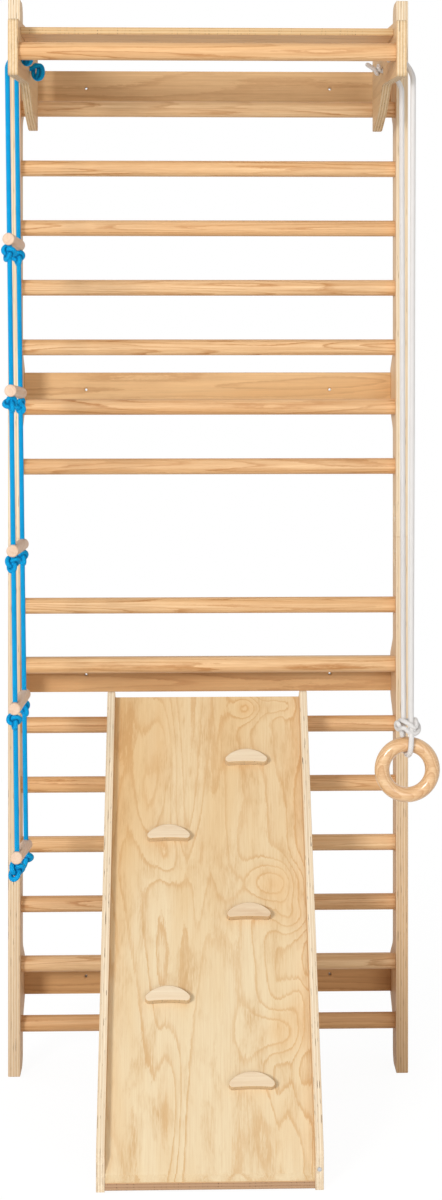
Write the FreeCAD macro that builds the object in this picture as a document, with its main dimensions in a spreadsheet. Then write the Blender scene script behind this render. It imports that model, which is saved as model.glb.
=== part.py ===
import FreeCAD, Part
import math
import os
import re

import Sketcher
from FreeCAD import Placement, Rotation, Vector

# Indoor climbing frame: wall bars on two plywood posts, a hook-on canopy with a pull-up bar,
# a climbing ramp hooked on a rung, a rope ladder and a ring on a rope.
# Millimetres. +X is to the right, +Y to the wall behind, +Z up. The origin lies on the floor,
# in the middle of the frame's width and depth.

sizes = {
    # posts, each made of two equal halves butted end to end
    "frame_width": 800,
    "half_height": 1075,
    "post_thick": 24,
    "post_depth": 72,
    "post_corner": 28,
    "lug_reach": 56,
    "lug_margin": 6,
    "lug_blend": 38,
    "lug_round": 18,
    # rungs in blind sockets, counted from the free end of each half
    "rung_dia": 32,
    "rung_first": 95,
    "rung_back": 36,
    "rung_joint_gap": 140,
    "rungs_per_half": 8,
    "socket_depth": 14,
    "fit_gap": 0.1,
    # wall boards between the lugs
    "board_height": 70,
    "board_thick": 18,
    "board_outer": 130,
    "board_joint_gap": 327,
    "wall_hole_dia": 5,
    "wall_hole_sink": 10,
    "wall_hole_spacing": 500,
    # bolts that pull the boards against the posts
    "bolt_dia": 6,
    "bolt_play": 0.5,
    "bolt_head_dia": 13,
    "bolt_head_height": 4,
    "bolt_grip": 40,
    "barrel_dia": 10,
    "barrel_length": 14,
    # rod, crescents, nuts and dowels of the joint between two halves
    "access_dia": 36,
    "access_drop": 45,
    "access_back": 40,
    "rod_dia": 8,
    "nut_dia": 15,
    "nut_height": 6.5,
    "crescent_chord": 9,
    "crescent_width": 20,
    "dowel_dia": 10,
    "dowel_length": 40,
    "dowel_inset": 12,
    # canopy that hooks over the top rung and leans on the next one
    "canopy_width": 708,
    "canopy_shift": -6,
    "canopy_thick": 18,
    "canopy_reach": 475,
    "arm_top_drop": 11,
    "arm_height": 101,
    "arm_low_rise": 17,
    "arm_bend": 196,
    "arm_round": 8,
    "bend_round": 50,
    "strut_bend": 105,
    "strut_bend_drop": 139,
    "strut_bend_round": 250,
    "crest_reach": 150,
    "crest_rise": 7,
    "strut_drop": 166,
    "strut_round": 12,
    "hook_cover": 17,
    "hook_tip": 16,
    "hook_drop": 17,
    "hook_play": 0.3,
    "shelf_setback": 60,
    "shelf_depth": 180,
    "shelf_thick": 13,
    "shelf_top_drop": 18,
    "bar_dia": 32,
    "bar_setback": 24,
    "bar_drop": 66,
    "bar_socket": 9,
    "screw_dia": 4.5,
    "screw_head_dia": 10,
    "screw_head_height": 3,
    "screw_length": 45,
    "shelf_screw_inset": 45,
    # climbing ramp: two side rails, a plywood face set back between them and five holds
    "ramp_width": 395,
    "ramp_shift": -3,
    "ramp_reach": 561,
    "ramp_head_setback": 32,
    "ramp_head_rise": 81,
    "ramp_rung": 6,
    "toe_height": 65,
    "toe_round": 12,
    "rail_thick": 15,
    "rail_depth": 70,
    "rail_round": 8,
    "ramp_hook_cover": 22,
    "ramp_hook_tip": 12,
    "ramp_hook_drop": 17,
    "ramp_neck_drop": 35,
    "ramp_neck_length": 40,
    "face_recess": 22,
    "face_thick": 12,
    "face_head_gap": 4,
    "face_toe_setback": 2,
    "batten_height": 45,
    "batten_thick": 18,
    "batten_drop": 15,
    "foot_rail_depth": 24,
    "foot_rail_height": 13,
    "foot_rail_lift": 2.5,
    "foot_rail_setback": 1,
    "toe_screw_height": 36,
    "toe_screw_dia": 4,
    "toe_screw_head": 7.5,
    "toe_screw_sink": 1.5,
    "toe_screw_length": 30,
    "hold_chord": 97,
    "hold_height": 38,
    "hold_thick": 18,
    "hold_dish": 3,
    "hold_corner_rise": 8,
    "hold_round": 7,
    "hold_edge": 2,
    "hold_first": 143,
    "hold_pitch": 155,
    "hold_side": 75,
    # rope holes through the canopy's side panels
    "rope_hole_dia": 15,
    "rope_hole_flare": 5,
    "rope_hole_drop": 70,
    "rope_front_reach": 405,
    "rope_back_reach": 200,
    # rope ladder on the left
    "ladder_rope_dia": 9,
    "ladder_stand_off": 7,
    "ladder_rung_dia": 22,
    "ladder_rung_overhang": 20,
    "ladder_rung_edge": 1.5,
    "ladder_rung_1_drop": 331,
    "ladder_rung_2_drop": 608,
    "ladder_rung_3_drop": 896,
    "ladder_rung_4_drop": 1181,
    "ladder_rung_5_drop": 1458,
    "ladder_rung_1_tilt": 0.7,
    "ladder_rung_2_tilt": 3,
    "ladder_rung_3_tilt": 3.1,
    "ladder_rung_4_tilt": 3.9,
    "ladder_rung_5_tilt": 8.3,
    "ladder_lean": 0.0124,
    "ladder_tail": 12,
    "rope_play": 0.6,
    "knot_width": 25,
    "knot_height": 29,
    "knot_gap": 0.3,
    "end_knot_width": 30,
    # ring on the right
    "ring_rope_dia": 10,
    "ring_stand_off": 18.5,
    "ring_across": 94,
    "ring_bar_dia": 28,
    "ring_drop": 1311,
    "ring_knot_drop": 1231,
    "ring_knot_width": 46,
    "ring_knot_depth": 40,
    "ring_knot_height": 31,
    "ring_strand_lean": 5,
    "ring_strand_gap": 6.5,
    "ring_rope_play": 0.5,
}
ladder_rung_count = 5
arc_reach_share = 0.45
hold_count = 5

doc = FreeCAD.newDocument("climbing_frame")
sheet = doc.addObject("Spreadsheet::Sheet", "Sizes")
for row, (name, size) in enumerate(sizes.items(), start=1):
    sheet.set("A%d" % row, name)
    sheet.set("B%d" % row, str(size))
    sheet.setAlias("B%d" % row, name)
doc.recompute()

pieces = []
tolerance = 1e-4


def bound(expression):
    """The expression with every size name pointing into the sheet."""

    def point(word):
        return "Sizes." + word.group() if word.group() in sizes else word.group()

    return re.sub(r"[a-z_]\w*", point, expression)


def value(expression):
    """The number that an expression of size names comes to."""
    return float(sheet.evalExpression(bound(expression)))


# places that several pieces share, measured from the posts' middle and front face and the floor
post_middle = ("((frame_width / 2 - canopy_shift - canopy_width / 2 - ring_stand_off"
               " - ring_across / 2 - ring_bar_dia / 2) / 2)")
post_front = "((ramp_reach - post_depth - lug_reach) / 2)"
lug_back = "(post_depth + lug_reach)"
rung_pitch = "((half_height - rung_first - rung_joint_gap) / (rungs_per_half - 1))"
board_inner = "(half_height - board_joint_gap)"
top_rung = "(2 * half_height - rung_first)"
inner_width = "(frame_width - 2 * post_thick)"
hook_radius = "(rung_dia / 2 + hook_play)"
panel_outer = "(canopy_width / 2)"
panel_inner = "(canopy_width / 2 - canopy_thick)"
rope_hole_height = "(%s - rope_hole_drop)" % top_rung
ramp_rung_height = "(rung_first + (ramp_rung - 1) * %s)" % rung_pitch
ramp_head_height = "(%s + ramp_head_rise)" % ramp_rung_height
ramp_run = "(ramp_reach - ramp_head_setback)"
ramp_rise = "(%s - toe_height)" % ramp_head_height
ramp_slant = "sqrt(%s^2 + %s^2)" % (ramp_run, ramp_rise)
face_width = "(ramp_width - 2 * rail_thick)"


def place(thing, x="0", y="0", z="0"):
    """Ties an object's position to the sheet, with x counted from the posts' middle."""
    for axis, expression in zip("xyz", ("%s + %s" % (post_middle, x), y, z)):
        thing.setExpression("Placement.Base." + axis, bound(expression))


def new_body(label, x="0", y=post_front, z="0"):
    body = doc.addObject("PartDesign::Body", label)
    body.Label = label
    place(body, x, y, z)
    pieces.append(body)
    return body


def new_sketch(body, plane, offset="0"):
    """An empty sketch on one of the body's own planes, moved along the plane's normal."""
    sketch = body.newObject("Sketcher::SketchObject", body.Label + "_sketch")
    origin = [item for item in body.Origin.OriginFeatures if item.Role == plane + "_Plane"]
    sketch.AttachmentSupport = [(origin[0], "")]
    sketch.MapMode = "FlatFace"
    sketch.setExpression("AttachmentOffset.Base.z", bound(offset))
    return sketch


def hold_point(sketch, geometry, end, across, up):
    """Two dimensions from the sketch's origin to a point."""
    for kind, expression in (("DistanceX", across), ("DistanceY", up)):
        constraint = Sketcher.Constraint(kind, -1, 1, geometry, end, value(expression))
        index = sketch.addConstraint(constraint)
        sketch.setExpression("Constraints[%d]" % index, bound(expression))


def draw_outline(sketch, corners):
    """A closed outline of straight edges through corners, each a pair of expressions."""
    points = [Vector(value(across), value(up), 0) for across, up in corners]
    for start, end in zip(points, points[1:] + points[:1]):
        sketch.addGeometry(Part.LineSegment(start, end))
    for index, (across, up) in enumerate(corners):
        following = (index + 1) % len(corners)
        sketch.addConstraint(Sketcher.Constraint("Coincident", index, 2, following, 1))
        hold_point(sketch, index, 1, across, up)


def draw_circles(sketch, spots, diameter):
    for index, (across, up) in enumerate(spots):
        centre = Vector(value(across), value(up), 0)
        sketch.addGeometry(Part.Circle(centre, Vector(0, 0, 1), value(diameter) / 2))
        hold_point(sketch, index, 3, across, up)
        constraint = Sketcher.Constraint("Diameter", index, value(diameter))
        number = sketch.addConstraint(constraint)
        sketch.setExpression("Constraints[%d]" % number, bound(diameter))


def pad(body, plane, corners, length, offset="0"):
    sketch = new_sketch(body, plane, offset)
    draw_outline(sketch, corners)
    feature = body.newObject("PartDesign::Pad", body.Label + "_pad")
    feature.Profile = sketch
    feature.setExpression("Length", bound(length))
    doc.recompute()
    return feature


def drill(body, plane, spots, diameter, depth=None, offset="0", forward=False):
    """Round holes from a plane into the solid, through it where no depth is given."""
    before = body.Tip.Shape.Volume
    sketch = new_sketch(body, plane, offset)
    draw_circles(sketch, spots, diameter)
    feature = body.newObject("PartDesign::Pocket", body.Label + "_holes")
    feature.Profile = sketch
    feature.Reversed = forward
    if depth is None:
        feature.Type = "ThroughAll"
    else:
        feature.setExpression("Length", bound(depth))
    doc.recompute()
    if feature.Shape.Volume >= before:
        raise RuntimeError(body.Label + ": a hole cut nothing")
    return feature


def trim(body, plane, corners):
    """Takes everything inside an outline off the solid, all the way through it."""
    sketch = new_sketch(body, plane)
    draw_outline(sketch, corners)
    feature = body.newObject("PartDesign::Pocket", body.Label + "_trim")
    feature.Profile = sketch
    feature.Type = "ThroughAll"
    feature.Reversed = True
    doc.recompute()
    return feature


def repeat(body, feature, axis, count, length, backwards=False):
    """Copies of a feature in a row, which become the body's newest state."""
    origin = [item for item in body.Origin.OriginFeatures if item.Role == axis + "_Axis"]
    pattern = body.newObject("PartDesign::LinearPattern", body.Label + "_row")
    pattern.Originals = [feature]
    pattern.Direction = (origin[0], [""])
    pattern.Reversed = backwards
    pattern.setExpression("Length", bound(length))
    pattern.setExpression("Occurrences", bound(count))
    body.Tip = pattern
    doc.recompute()


def edges_through(shape, axes, corners):
    """Names of the edges that run square to two axes through corners given in those axes."""
    spots = [(value(across), value(up)) for across, up in corners]
    names = []
    for number, edge in enumerate(shape.Edges, start=1):
        ends = [(getattr(v.Point, axes[0]), getattr(v.Point, axes[1])) for v in edge.Vertexes]
        for spot in spots:
            if len(ends) == 2 and all(math.dist(end, spot) < tolerance for end in ends):
                names.append("Edge%d" % number)
    return names


def dress(body, kind, names, setting, expression):
    """A fillet or chamfer on named edges of the body's newest state."""
    if not names:
        raise RuntimeError(body.Label + ": no edge found to dress")
    base = body.Tip
    feature = body.newObject("PartDesign::" + kind, body.Label + "_" + kind.lower())
    feature.Base = (base, names)
    feature.setExpression(setting, bound(expression))
    body.Tip = feature
    doc.recompute()
    if "Invalid" in feature.State:
        raise RuntimeError("%s: %s failed on %s" % (body.Label, kind, names))
    return feature


def round_corners(body, corners, radius, axes="yz"):
    dress(body, "Fillet", edges_through(body.Tip.Shape, axes, corners), "Radius", radius)


def cylinder(label, diameter, length, x, y, z, axis=Vector(0, 0, 1)):
    """A plain round piece that runs along an axis from its place."""
    thing = doc.addObject("Part::Cylinder", label)
    thing.Label = label
    thing.setExpression("Radius", bound("(%s) / 2" % diameter))
    thing.setExpression("Height", bound(length))
    thing.Placement = Placement(Vector(0, 0, 0), Rotation(Vector(0, 0, 1), axis))
    place(thing, x, y, z)
    return thing


def box(label, across, deep, high, x, y, z):
    thing = doc.addObject("Part::Box", label)
    thing.Label = label
    thing.setExpression("Length", bound(across))
    thing.setExpression("Width", bound(deep))
    thing.setExpression("Height", bound(high))
    place(thing, x, y, z)
    return thing


def ellipsoid(label, across, deep, high, x, y, z):
    thing = doc.addObject("Part::Ellipsoid", label)
    thing.Label = label
    for name, expression in (("Radius1", high), ("Radius2", across), ("Radius3", deep)):
        thing.setExpression(name, bound("(%s) / 2" % expression))
    thing.Angle1 = -90
    place(thing, x, y, z)
    return thing


def cut(label, base, tools):
    """The base with every tool taken out of it, as one named piece."""
    gather = doc.addObject("Part::Compound", label + "_tools")
    gather.Links = tools
    thing = doc.addObject("Part::Cut", label)
    thing.Label = label
    thing.Base = base
    thing.Tool = gather
    pieces.append(thing)
    return thing


def group(label, things):
    """Identical small pieces as one node of separate solids."""
    thing = doc.addObject("Part::Compound", label)
    thing.Label = label
    thing.Links = things
    pieces.append(thing)
    return thing


def fixed_shape(label, shape):
    """A piece whose shape is worked out here rather than by a feature."""
    thing = doc.addObject("Part::Feature", label)
    thing.Label = label
    thing.Shape = shape
    pieces.append(thing)
    return thing


x_axis = Vector(1, 0, 0)
y_axis = Vector(0, 1, 0)
sides = (("left", -1), ("right", 1))


def post_half(label, side, upper):
    """Half a post: two lugs behind it carry the wall boards, blind sockets hold the rungs."""

    def rise(height):
        return "(2 * half_height - (%s))" % height if upper else "(%s)" % height

    left = side < 0
    start = "-frame_width / 2" if left else "frame_width / 2 - post_thick"
    inside = "post_thick" if left else "0"
    outside = "0" if left else "post_thick"
    body = new_body(label, start)
    outline = [("0", rise("0")), ("post_depth", rise("0"))]
    feet, tips = [], []
    for board in ("board_outer", board_inner):
        low = board + " - lug_margin"
        high = board + " + board_height + lug_margin"
        lug_feet = [("post_depth", rise(low + " - lug_blend")), ("post_depth", rise(high + " + lug_blend"))]
        lug_tips = [(lug_back, rise(low)), (lug_back, rise(high))]
        outline += [lug_feet[0], lug_tips[0], lug_tips[1], lug_feet[1]]
        feet += lug_feet
        tips += lug_tips
    outline += [("post_depth", rise("half_height")), ("0", rise("half_height"))]
    pad(body, "YZ", outline, "post_thick")
    round_corners(body, feet + tips, "lug_round")
    round_corners(body, [("post_depth", rise("0"))], "post_corner")

    socket = drill(body, "YZ", [("rung_back", rise("rung_first"))], "rung_dia + 2 * fit_gap",
                   "socket_depth", inside, forward=not left)
    repeat(body, socket, "Z", "rungs_per_half", "half_height - rung_first - rung_joint_gap", backwards=upper)

    access = ("access_back", rise("half_height - access_drop"))
    drill(body, "YZ", [access], "access_dia", None, "0", forward=True)
    drill(body, "XY", [("post_thick / 2", "access_back")], "rod_dia + bolt_play", "access_drop",
          "half_height", forward=upper)
    dowels = [("post_thick / 2", "dowel_inset"), ("post_thick / 2", "post_depth - dowel_inset")]
    drill(body, "XY", dowels, "dowel_dia + 2 * fit_gap", "dowel_length / 2 + fit_gap",
          "half_height", forward=upper)

    bolts = [(lug_back + " - board_thick / 2", rise(board + " + board_height / 2"))
             for board in ("board_outer", board_inner)]
    drill(body, "YZ", bolts, "bolt_dia + bolt_play", None, "0", forward=True)
    drill(body, "YZ", bolts, "bolt_head_dia + bolt_play", "bolt_head_height", outside, forward=left)
    return body


def post_joint():
    """Rods, crescents and nuts in the round openings, and two dowels, at each butt joint."""
    rods, nuts, dowels = [], [], []
    for side, sign in sides:
        x = "%d * (frame_width / 2 - post_thick / 2)" % sign
        y = post_front + " + access_back"
        seat = "access_drop - access_dia / 2 + crescent_chord"
        reach = "(%s + nut_height)" % seat
        rods.append(cylinder("rod_" + side, "rod_dia", "2 * " + reach, x, y, "half_height - " + reach))
        for end, up in (("low", -1), ("high", 1)):
            name = "%s_%s" % (side, end)
            hub = cylinder("hub_" + name, "access_dia - 2 * fit_gap", "crescent_width",
                           x + " - crescent_width / 2", y, "half_height + %d * access_drop" % up, x_axis)
            slab_low = "half_height - (%s)" % seat if up < 0 else "half_height + access_drop - access_dia / 2"
            slab = box("slab_" + name, "crescent_width", "access_dia", "crescent_chord",
                       x + " - crescent_width / 2", y + " - access_dia / 2", slab_low)
            segment = doc.addObject("Part::Common", "segment_" + name)
            segment.Base = hub
            segment.Tool = slab
            bore = cylinder("bore_" + name, "rod_dia + 2 * fit_gap", "2 * access_dia",
                            x, y, "half_height + %d * access_drop - access_dia" % up)
            crescent = doc.addObject("Part::Cut", "crescent_" + name)
            crescent.Base = segment
            crescent.Tool = bore
            nut_low = "half_height - %s" % reach if up < 0 else "half_height + " + seat
            blank = doc.addObject("Part::Prism", "blank_" + name)
            blank.Polygon = 6
            blank.setExpression("Circumradius", bound("nut_dia / 2"))
            blank.setExpression("Height", bound("nut_height"))
            place(blank, x, y, nut_low)
            thread = cylinder("thread_" + name, "rod_dia + 2 * fit_gap", "nut_height", x, y, nut_low)
            nut = doc.addObject("Part::Cut", "nut_" + name)
            nut.Base = blank
            nut.Tool = thread
            nuts += [crescent, nut]
        for end, inset in (("front", "dowel_inset"), ("back", "post_depth - dowel_inset")):
            dowels.append(cylinder("dowel_%s_%s" % (side, end), "dowel_dia", "dowel_length", x,
                                   post_front + " + " + inset, "half_height - dowel_length / 2"))
    group("post_joint_rods", rods)
    group("post_joint_nuts", nuts)
    group("post_joint_dowels", dowels)


def rung(number):
    """One turned rung, with both ends in the posts' sockets."""
    length = inner_width + " + 2 * socket_depth - 2 * fit_gap"
    per_half = int(value("rungs_per_half"))
    if number <= per_half:
        height = "rung_first + %d * %s" % (number - 1, rung_pitch)
    else:
        height = "%s - %d * %s" % (top_rung, 2 * per_half - number, rung_pitch)
    pieces.append(cylinder("rung_%02d" % number, "rung_dia", length, "-(%s) / 2" % length,
                           post_front + " + rung_back", height, x_axis))


boards = (("wall_board_1", "board_outer"), ("wall_board_2", board_inner),
          ("wall_board_3", "half_height + board_joint_gap - board_height"),
          ("wall_board_4", "2 * half_height - board_outer - board_height"))


def wall_board(label, low):
    """A board between the lugs: two countersunk wall holes, and a bolt with its barrel at each end."""
    body = new_body(label, "0", "%s + %s - board_thick" % (post_front, lug_back), low)
    half = inner_width + " / 2"
    pad(body, "XZ", [("-" + half, "0"), (half, "0"), (half, "board_height"), ("-" + half, "board_height")],
        "board_thick", "-board_thick")
    middle = "board_height / 2"
    wall_holes = [("-wall_hole_spacing / 2", middle), ("wall_hole_spacing / 2", middle)]
    holes = drill(body, "XZ", wall_holes, "wall_hole_dia", None, "0")
    rims = [number for number, edge in enumerate(holes.Shape.Edges, start=1)
            if isinstance(edge.Curve, Part.Circle) and abs(edge.CenterOfMass.y) < tolerance]
    dress(body, "Chamfer", ["Edge%d" % number for number in rims], "Size",
          "(wall_hole_sink - wall_hole_dia) / 2")
    barrels = [("-(%s - bolt_grip + barrel_dia)" % half, middle), ("%s - bolt_grip + barrel_dia" % half, middle)]
    drill(body, "XZ", barrels, "barrel_dia + 2 * fit_gap", "barrel_length + (board_thick - barrel_length) / 2",
          "-board_thick", forward=True)
    for sign, forward in ((-1, True), (1, False)):
        drill(body, "YZ", [("board_thick / 2", middle)], "bolt_dia + bolt_play", "bolt_grip + fit_gap",
              "%d * %s" % (sign, half), forward=forward)


def board_fixings():
    """Bolts from the posts' outer faces, and the barrels that they screw into."""
    bolts, barrels = [], []
    y = "%s + %s - board_thick / 2" % (post_front, lug_back)
    for label, low in boards:
        z = "(%s) + board_height / 2" % low
        for side, sign in sides:
            name = "%s_%s" % (label, side)
            out = "(frame_width / 2)"
            head_start = out + " - bolt_head_height" if sign > 0 else "-" + out
            head = cylinder("head_" + name, "bolt_head_dia", "bolt_head_height", head_start, y, z, x_axis)
            reach = "(post_thick - bolt_head_height + bolt_grip)"
            shank_start = "%s - bolt_head_height - %s" % (out, reach) if sign > 0 else "-%s + bolt_head_height" % out
            shank = cylinder("shank_" + name, "bolt_dia", reach, shank_start, y, z, x_axis)
            bolt = doc.addObject("Part::Fuse", "bolt_" + name)
            bolt.Base = head
            bolt.Tool = shank
            bolts.append(bolt)
            x = "%d * (%s / 2 - bolt_grip + barrel_dia)" % (sign, inner_width)
            solid = cylinder("barrel_" + name, "barrel_dia", "barrel_length", x,
                             y + " - barrel_length / 2", z, y_axis)
            thread = cylinder("tapping_" + name, "bolt_dia + 2 * fit_gap", "2 * barrel_dia",
                              x + " - barrel_dia", y, z, x_axis)
            barrel = doc.addObject("Part::Cut", "barrel_nut_" + name)
            barrel.Base = solid
            barrel.Tool = thread
            barrels.append(barrel)
    group("board_bolts", bolts)
    group("board_barrels", barrels)


shelf_low = "(%s - shelf_top_drop - shelf_thick)" % top_rung
shelf_front = "(shelf_setback - canopy_reach)"
bar_height = "(%s - bar_drop)" % top_rung
bar_place = "(bar_setback - canopy_reach)"
canopy_screws = ((shelf_front + " + shelf_screw_inset", shelf_low + " + shelf_thick / 2"),
                 (shelf_front + " + shelf_depth - shelf_screw_inset", shelf_low + " + shelf_thick / 2"),
                 (bar_place, bar_height))


def canopy_panel(label, side):
    """Side panel: an arm in front, a hook over the top rung and a strut that leans on the next rung."""
    start = "canopy_shift - canopy_width / 2" if side < 0 else "canopy_shift + canopy_width / 2 - canopy_thick"
    inside = "canopy_thick" if side < 0 else "0"
    outside = "0" if side < 0 else "canopy_thick"
    body = new_body(label, start)
    lean = "(rung_back - %s)" % hook_radius
    behind = "(rung_back + %s)" % hook_radius
    hook_top = "%s + %s + hook_cover" % (top_rung, hook_radius)
    hook_low = top_rung + " - hook_drop"
    arm_top = top_rung + " - arm_top_drop"
    arm_low = arm_top + " - arm_height"
    nose = [("-canopy_reach", arm_low), ("-canopy_reach", arm_top)]
    bend = [("-arm_bend", arm_low + " + arm_low_rise")]
    strut_bend = [("-strut_bend", top_rung + " - strut_bend_drop")]
    strut_tip = [("0", top_rung + " - strut_drop"), (lean, top_rung + " - strut_drop")]
    crest = [("-crest_reach", top_rung + " + crest_rise")]
    hook_corners = [(behind + " + hook_tip", hook_top), ("0", hook_top)]
    hook_ends = [(behind, hook_low), (behind + " + hook_tip", hook_low)]
    outline = (nose[:1] + bend + strut_bend + strut_tip + [(lean, top_rung), (behind, top_rung)]
               + hook_ends + hook_corners + crest + nose[1:])
    pad(body, "YZ", outline, "canopy_thick")
    round_corners(body, nose, "arm_round")
    round_corners(body, bend, "bend_round")
    round_corners(body, strut_bend, "strut_bend_round")
    round_corners(body, strut_tip[:1] + hook_corners, "strut_round")
    drill(body, "YZ", [("rung_back", top_rung)], "2 * " + hook_radius, None, "0", forward=True)
    ropes = [("-rope_front_reach", rope_hole_height), ("-rope_back_reach", rope_hole_height)]
    holes = drill(body, "YZ", ropes, "rope_hole_dia", None, "0", forward=True)
    rims = [number for number, edge in enumerate(holes.Shape.Edges, start=1)
            if isinstance(edge.Curve, Part.Circle) and len(edge.Vertexes) == 1
            and abs(edge.Curve.Radius - value("rope_hole_dia / 2")) < tolerance
            and abs(edge.CenterOfMass.x - value(outside)) < tolerance]
    dress(body, "Chamfer", ["Edge%d" % number for number in rims], "Size", "rope_hole_flare")
    drill(body, "YZ", list(canopy_screws), "screw_dia + bolt_play", None, "0", forward=True)
    drill(body, "YZ", list(canopy_screws), "screw_head_dia + bolt_play", "screw_head_height",
          outside, forward=side < 0)
    drill(body, "YZ", [(bar_place, bar_height)], "bar_dia + 2 * fit_gap", "bar_socket",
          inside, forward=side > 0)


def screw(name, sign, head_face, y, z):
    """A screw along X whose head lies just under the face that it is driven from."""
    head_start = head_face + " - screw_head_height" if sign > 0 else head_face
    shank_start = head_face + " - screw_length" if sign > 0 else head_face + " + screw_head_height"
    head = cylinder("head_" + name, "screw_head_dia", "screw_head_height", head_start, y, z, x_axis)
    shank = cylinder("shank_" + name, "screw_dia", "screw_length - screw_head_height", shank_start, y, z, x_axis)
    thing = doc.addObject("Part::Fuse", "screw_" + name)
    thing.Base = head
    thing.Tool = shank
    return thing


def screw_bore(name, sign, head_face, y, z):
    """The room that a screw takes in the piece that it is driven into."""
    start = head_face + " - screw_length - fit_gap" if sign > 0 else head_face
    return cylinder("bore_" + name, "screw_dia + 2 * fit_gap", "screw_length + fit_gap", start, y, z, x_axis)


def canopy():
    """Shelf and pull-up bar between the side panels, and the screws through the panels."""
    screws, bores = [], []
    for side, sign in sides:
        face = "canopy_shift + %d * %s" % (sign, panel_outer)
        for number, (y, z) in enumerate(canopy_screws):
            name = "canopy_%s_%d" % (side, number)
            screws.append(screw(name, sign, face, post_front + " + " + y, z))
            bores.append(screw_bore(name, sign, face, post_front + " + " + y, z))
    shelf = box("shelf_board", "2 * " + panel_inner, "shelf_depth", "shelf_thick",
                "canopy_shift - " + panel_inner, "%s + %s" % (post_front, shelf_front), shelf_low)
    cut("canopy_shelf", shelf, [bores[0], bores[1], bores[3], bores[4]])
    length = "2 * (%s + bar_socket - fit_gap)" % panel_inner
    round_bar = cylinder("bar_blank", "bar_dia", length, "canopy_shift - (%s) / 2" % length,
                         "%s + %s" % (post_front, bar_place), bar_height, x_axis)
    cut("pull_up_bar", round_bar, [bores[2], bores[5]])
    group("canopy_screws", screws)


rail_slip = "(rail_depth * %s / %s)" % (ramp_slant, ramp_rise)
foot_rail_front = "(foot_rail_setback - ramp_reach)"
foot_screw = (foot_rail_front + " + foot_rail_depth / 2", "foot_rail_lift + foot_rail_height / 2")
batten_along = "(%s - batten_drop - batten_height / 2)" % ramp_slant
batten_under = "(face_recess + face_thick + batten_thick / 2)"
batten_screw = ("(-ramp_reach + (%s * %s + %s * %s) / %s)"
                % (batten_along, ramp_run, batten_under, ramp_rise, ramp_slant),
                "(toe_height + (%s * %s - %s * %s) / %s)"
                % (batten_along, ramp_rise, batten_under, ramp_run, ramp_slant))


def ramp_rail(label, side):
    """Side rail on edge: a rounded toe on the floor and a hook that drops over a rung."""
    start = "ramp_shift - ramp_width / 2" if side < 0 else "ramp_shift + ramp_width / 2 - rail_thick"
    outside = "0" if side < 0 else "rail_thick"
    body = new_body(label, start)
    hook_z = ramp_rung_height
    front_notch = "(rung_back - %s)" % hook_radius
    back_notch = "(rung_back + %s)" % hook_radius
    neck_low = "(%s - ramp_neck_drop - ramp_neck_length)" % hook_z

    def back_edge(height):
        return "(-ramp_reach + %s + (%s - toe_height) * %s / %s)" % (rail_slip, height, ramp_run, ramp_rise)

    toe = [("-ramp_reach", "0"), ("-ramp_reach", "toe_height")]
    head = [("-ramp_head_setback", ramp_head_height),
            ("-ramp_head_setback + (rail_depth - rail_round) * %s / %s" % (ramp_rise, ramp_slant),
             "%s - (rail_depth - rail_round) * %s / %s" % (ramp_head_height, ramp_run, ramp_slant))]
    hook_top = "%s + %s + ramp_hook_cover" % (hook_z, hook_radius)
    hook = [(back_notch + " + ramp_hook_tip", hook_top),
            (back_notch + " + ramp_hook_tip", hook_z + " - ramp_hook_drop"),
            (back_notch, hook_z + " - ramp_hook_drop"),
            (back_notch, hook_z), (front_notch, hook_z),
            (front_notch, hook_z + " - ramp_neck_drop")]
    neck = [(back_edge(neck_low), neck_low), (back_edge("0"), "0")]
    pad(body, "YZ", toe + head + hook + neck, "rail_thick")
    round_corners(body, toe[1:], "toe_round")
    round_corners(body, head[:1] + hook[:1], "rail_round")
    drill(body, "YZ", [("rung_back", hook_z)], "2 * " + hook_radius, None, "0", forward=True)
    spots = [foot_screw, batten_screw]
    drill(body, "YZ", spots, "screw_dia + bolt_play", None, "0", forward=True)
    drill(body, "YZ", spots, "screw_head_dia + bolt_play", "screw_head_height", outside, forward=side < 0)
    if side > 0:
        spot = [("rail_thick / 2", "toe_screw_height")]
        drill(body, "XZ", spot, "toe_screw_dia + 2 * fit_gap", "toe_screw_length + fit_gap", "ramp_reach")
        drill(body, "XZ", spot, "toe_screw_head + bolt_play", "toe_screw_sink", "ramp_reach")


def tilt(thing, up="0", along="0"):
    """Lays an object made flat onto the ramp's slope, at a height over its front plane."""
    thing.Placement = Placement(Vector(0, 0, 0), Rotation(x_axis, 1))
    thing.setExpression("Placement.Rotation.Angle", bound("atan2(%s; %s)" % (ramp_rise, ramp_run)))
    place(thing, "ramp_shift",
          "%s - ramp_reach + ((%s) * %s - (%s) * %s) / %s"
          % (post_front, along, ramp_run, up, ramp_rise, ramp_slant),
          "toe_height + ((%s) * %s + (%s) * %s) / %s" % (along, ramp_rise, up, ramp_run, ramp_slant))


def on_slope(along, up):
    """A place in the ramp's profile, from its distance up the slope and its height over it."""
    return ("-ramp_reach + ((%s) * %s - (%s) * %s) / %s" % (along, ramp_run, up, ramp_rise, ramp_slant),
            "toe_height + ((%s) * %s + (%s) * %s) / %s" % (along, ramp_rise, up, ramp_run, ramp_slant))


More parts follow.
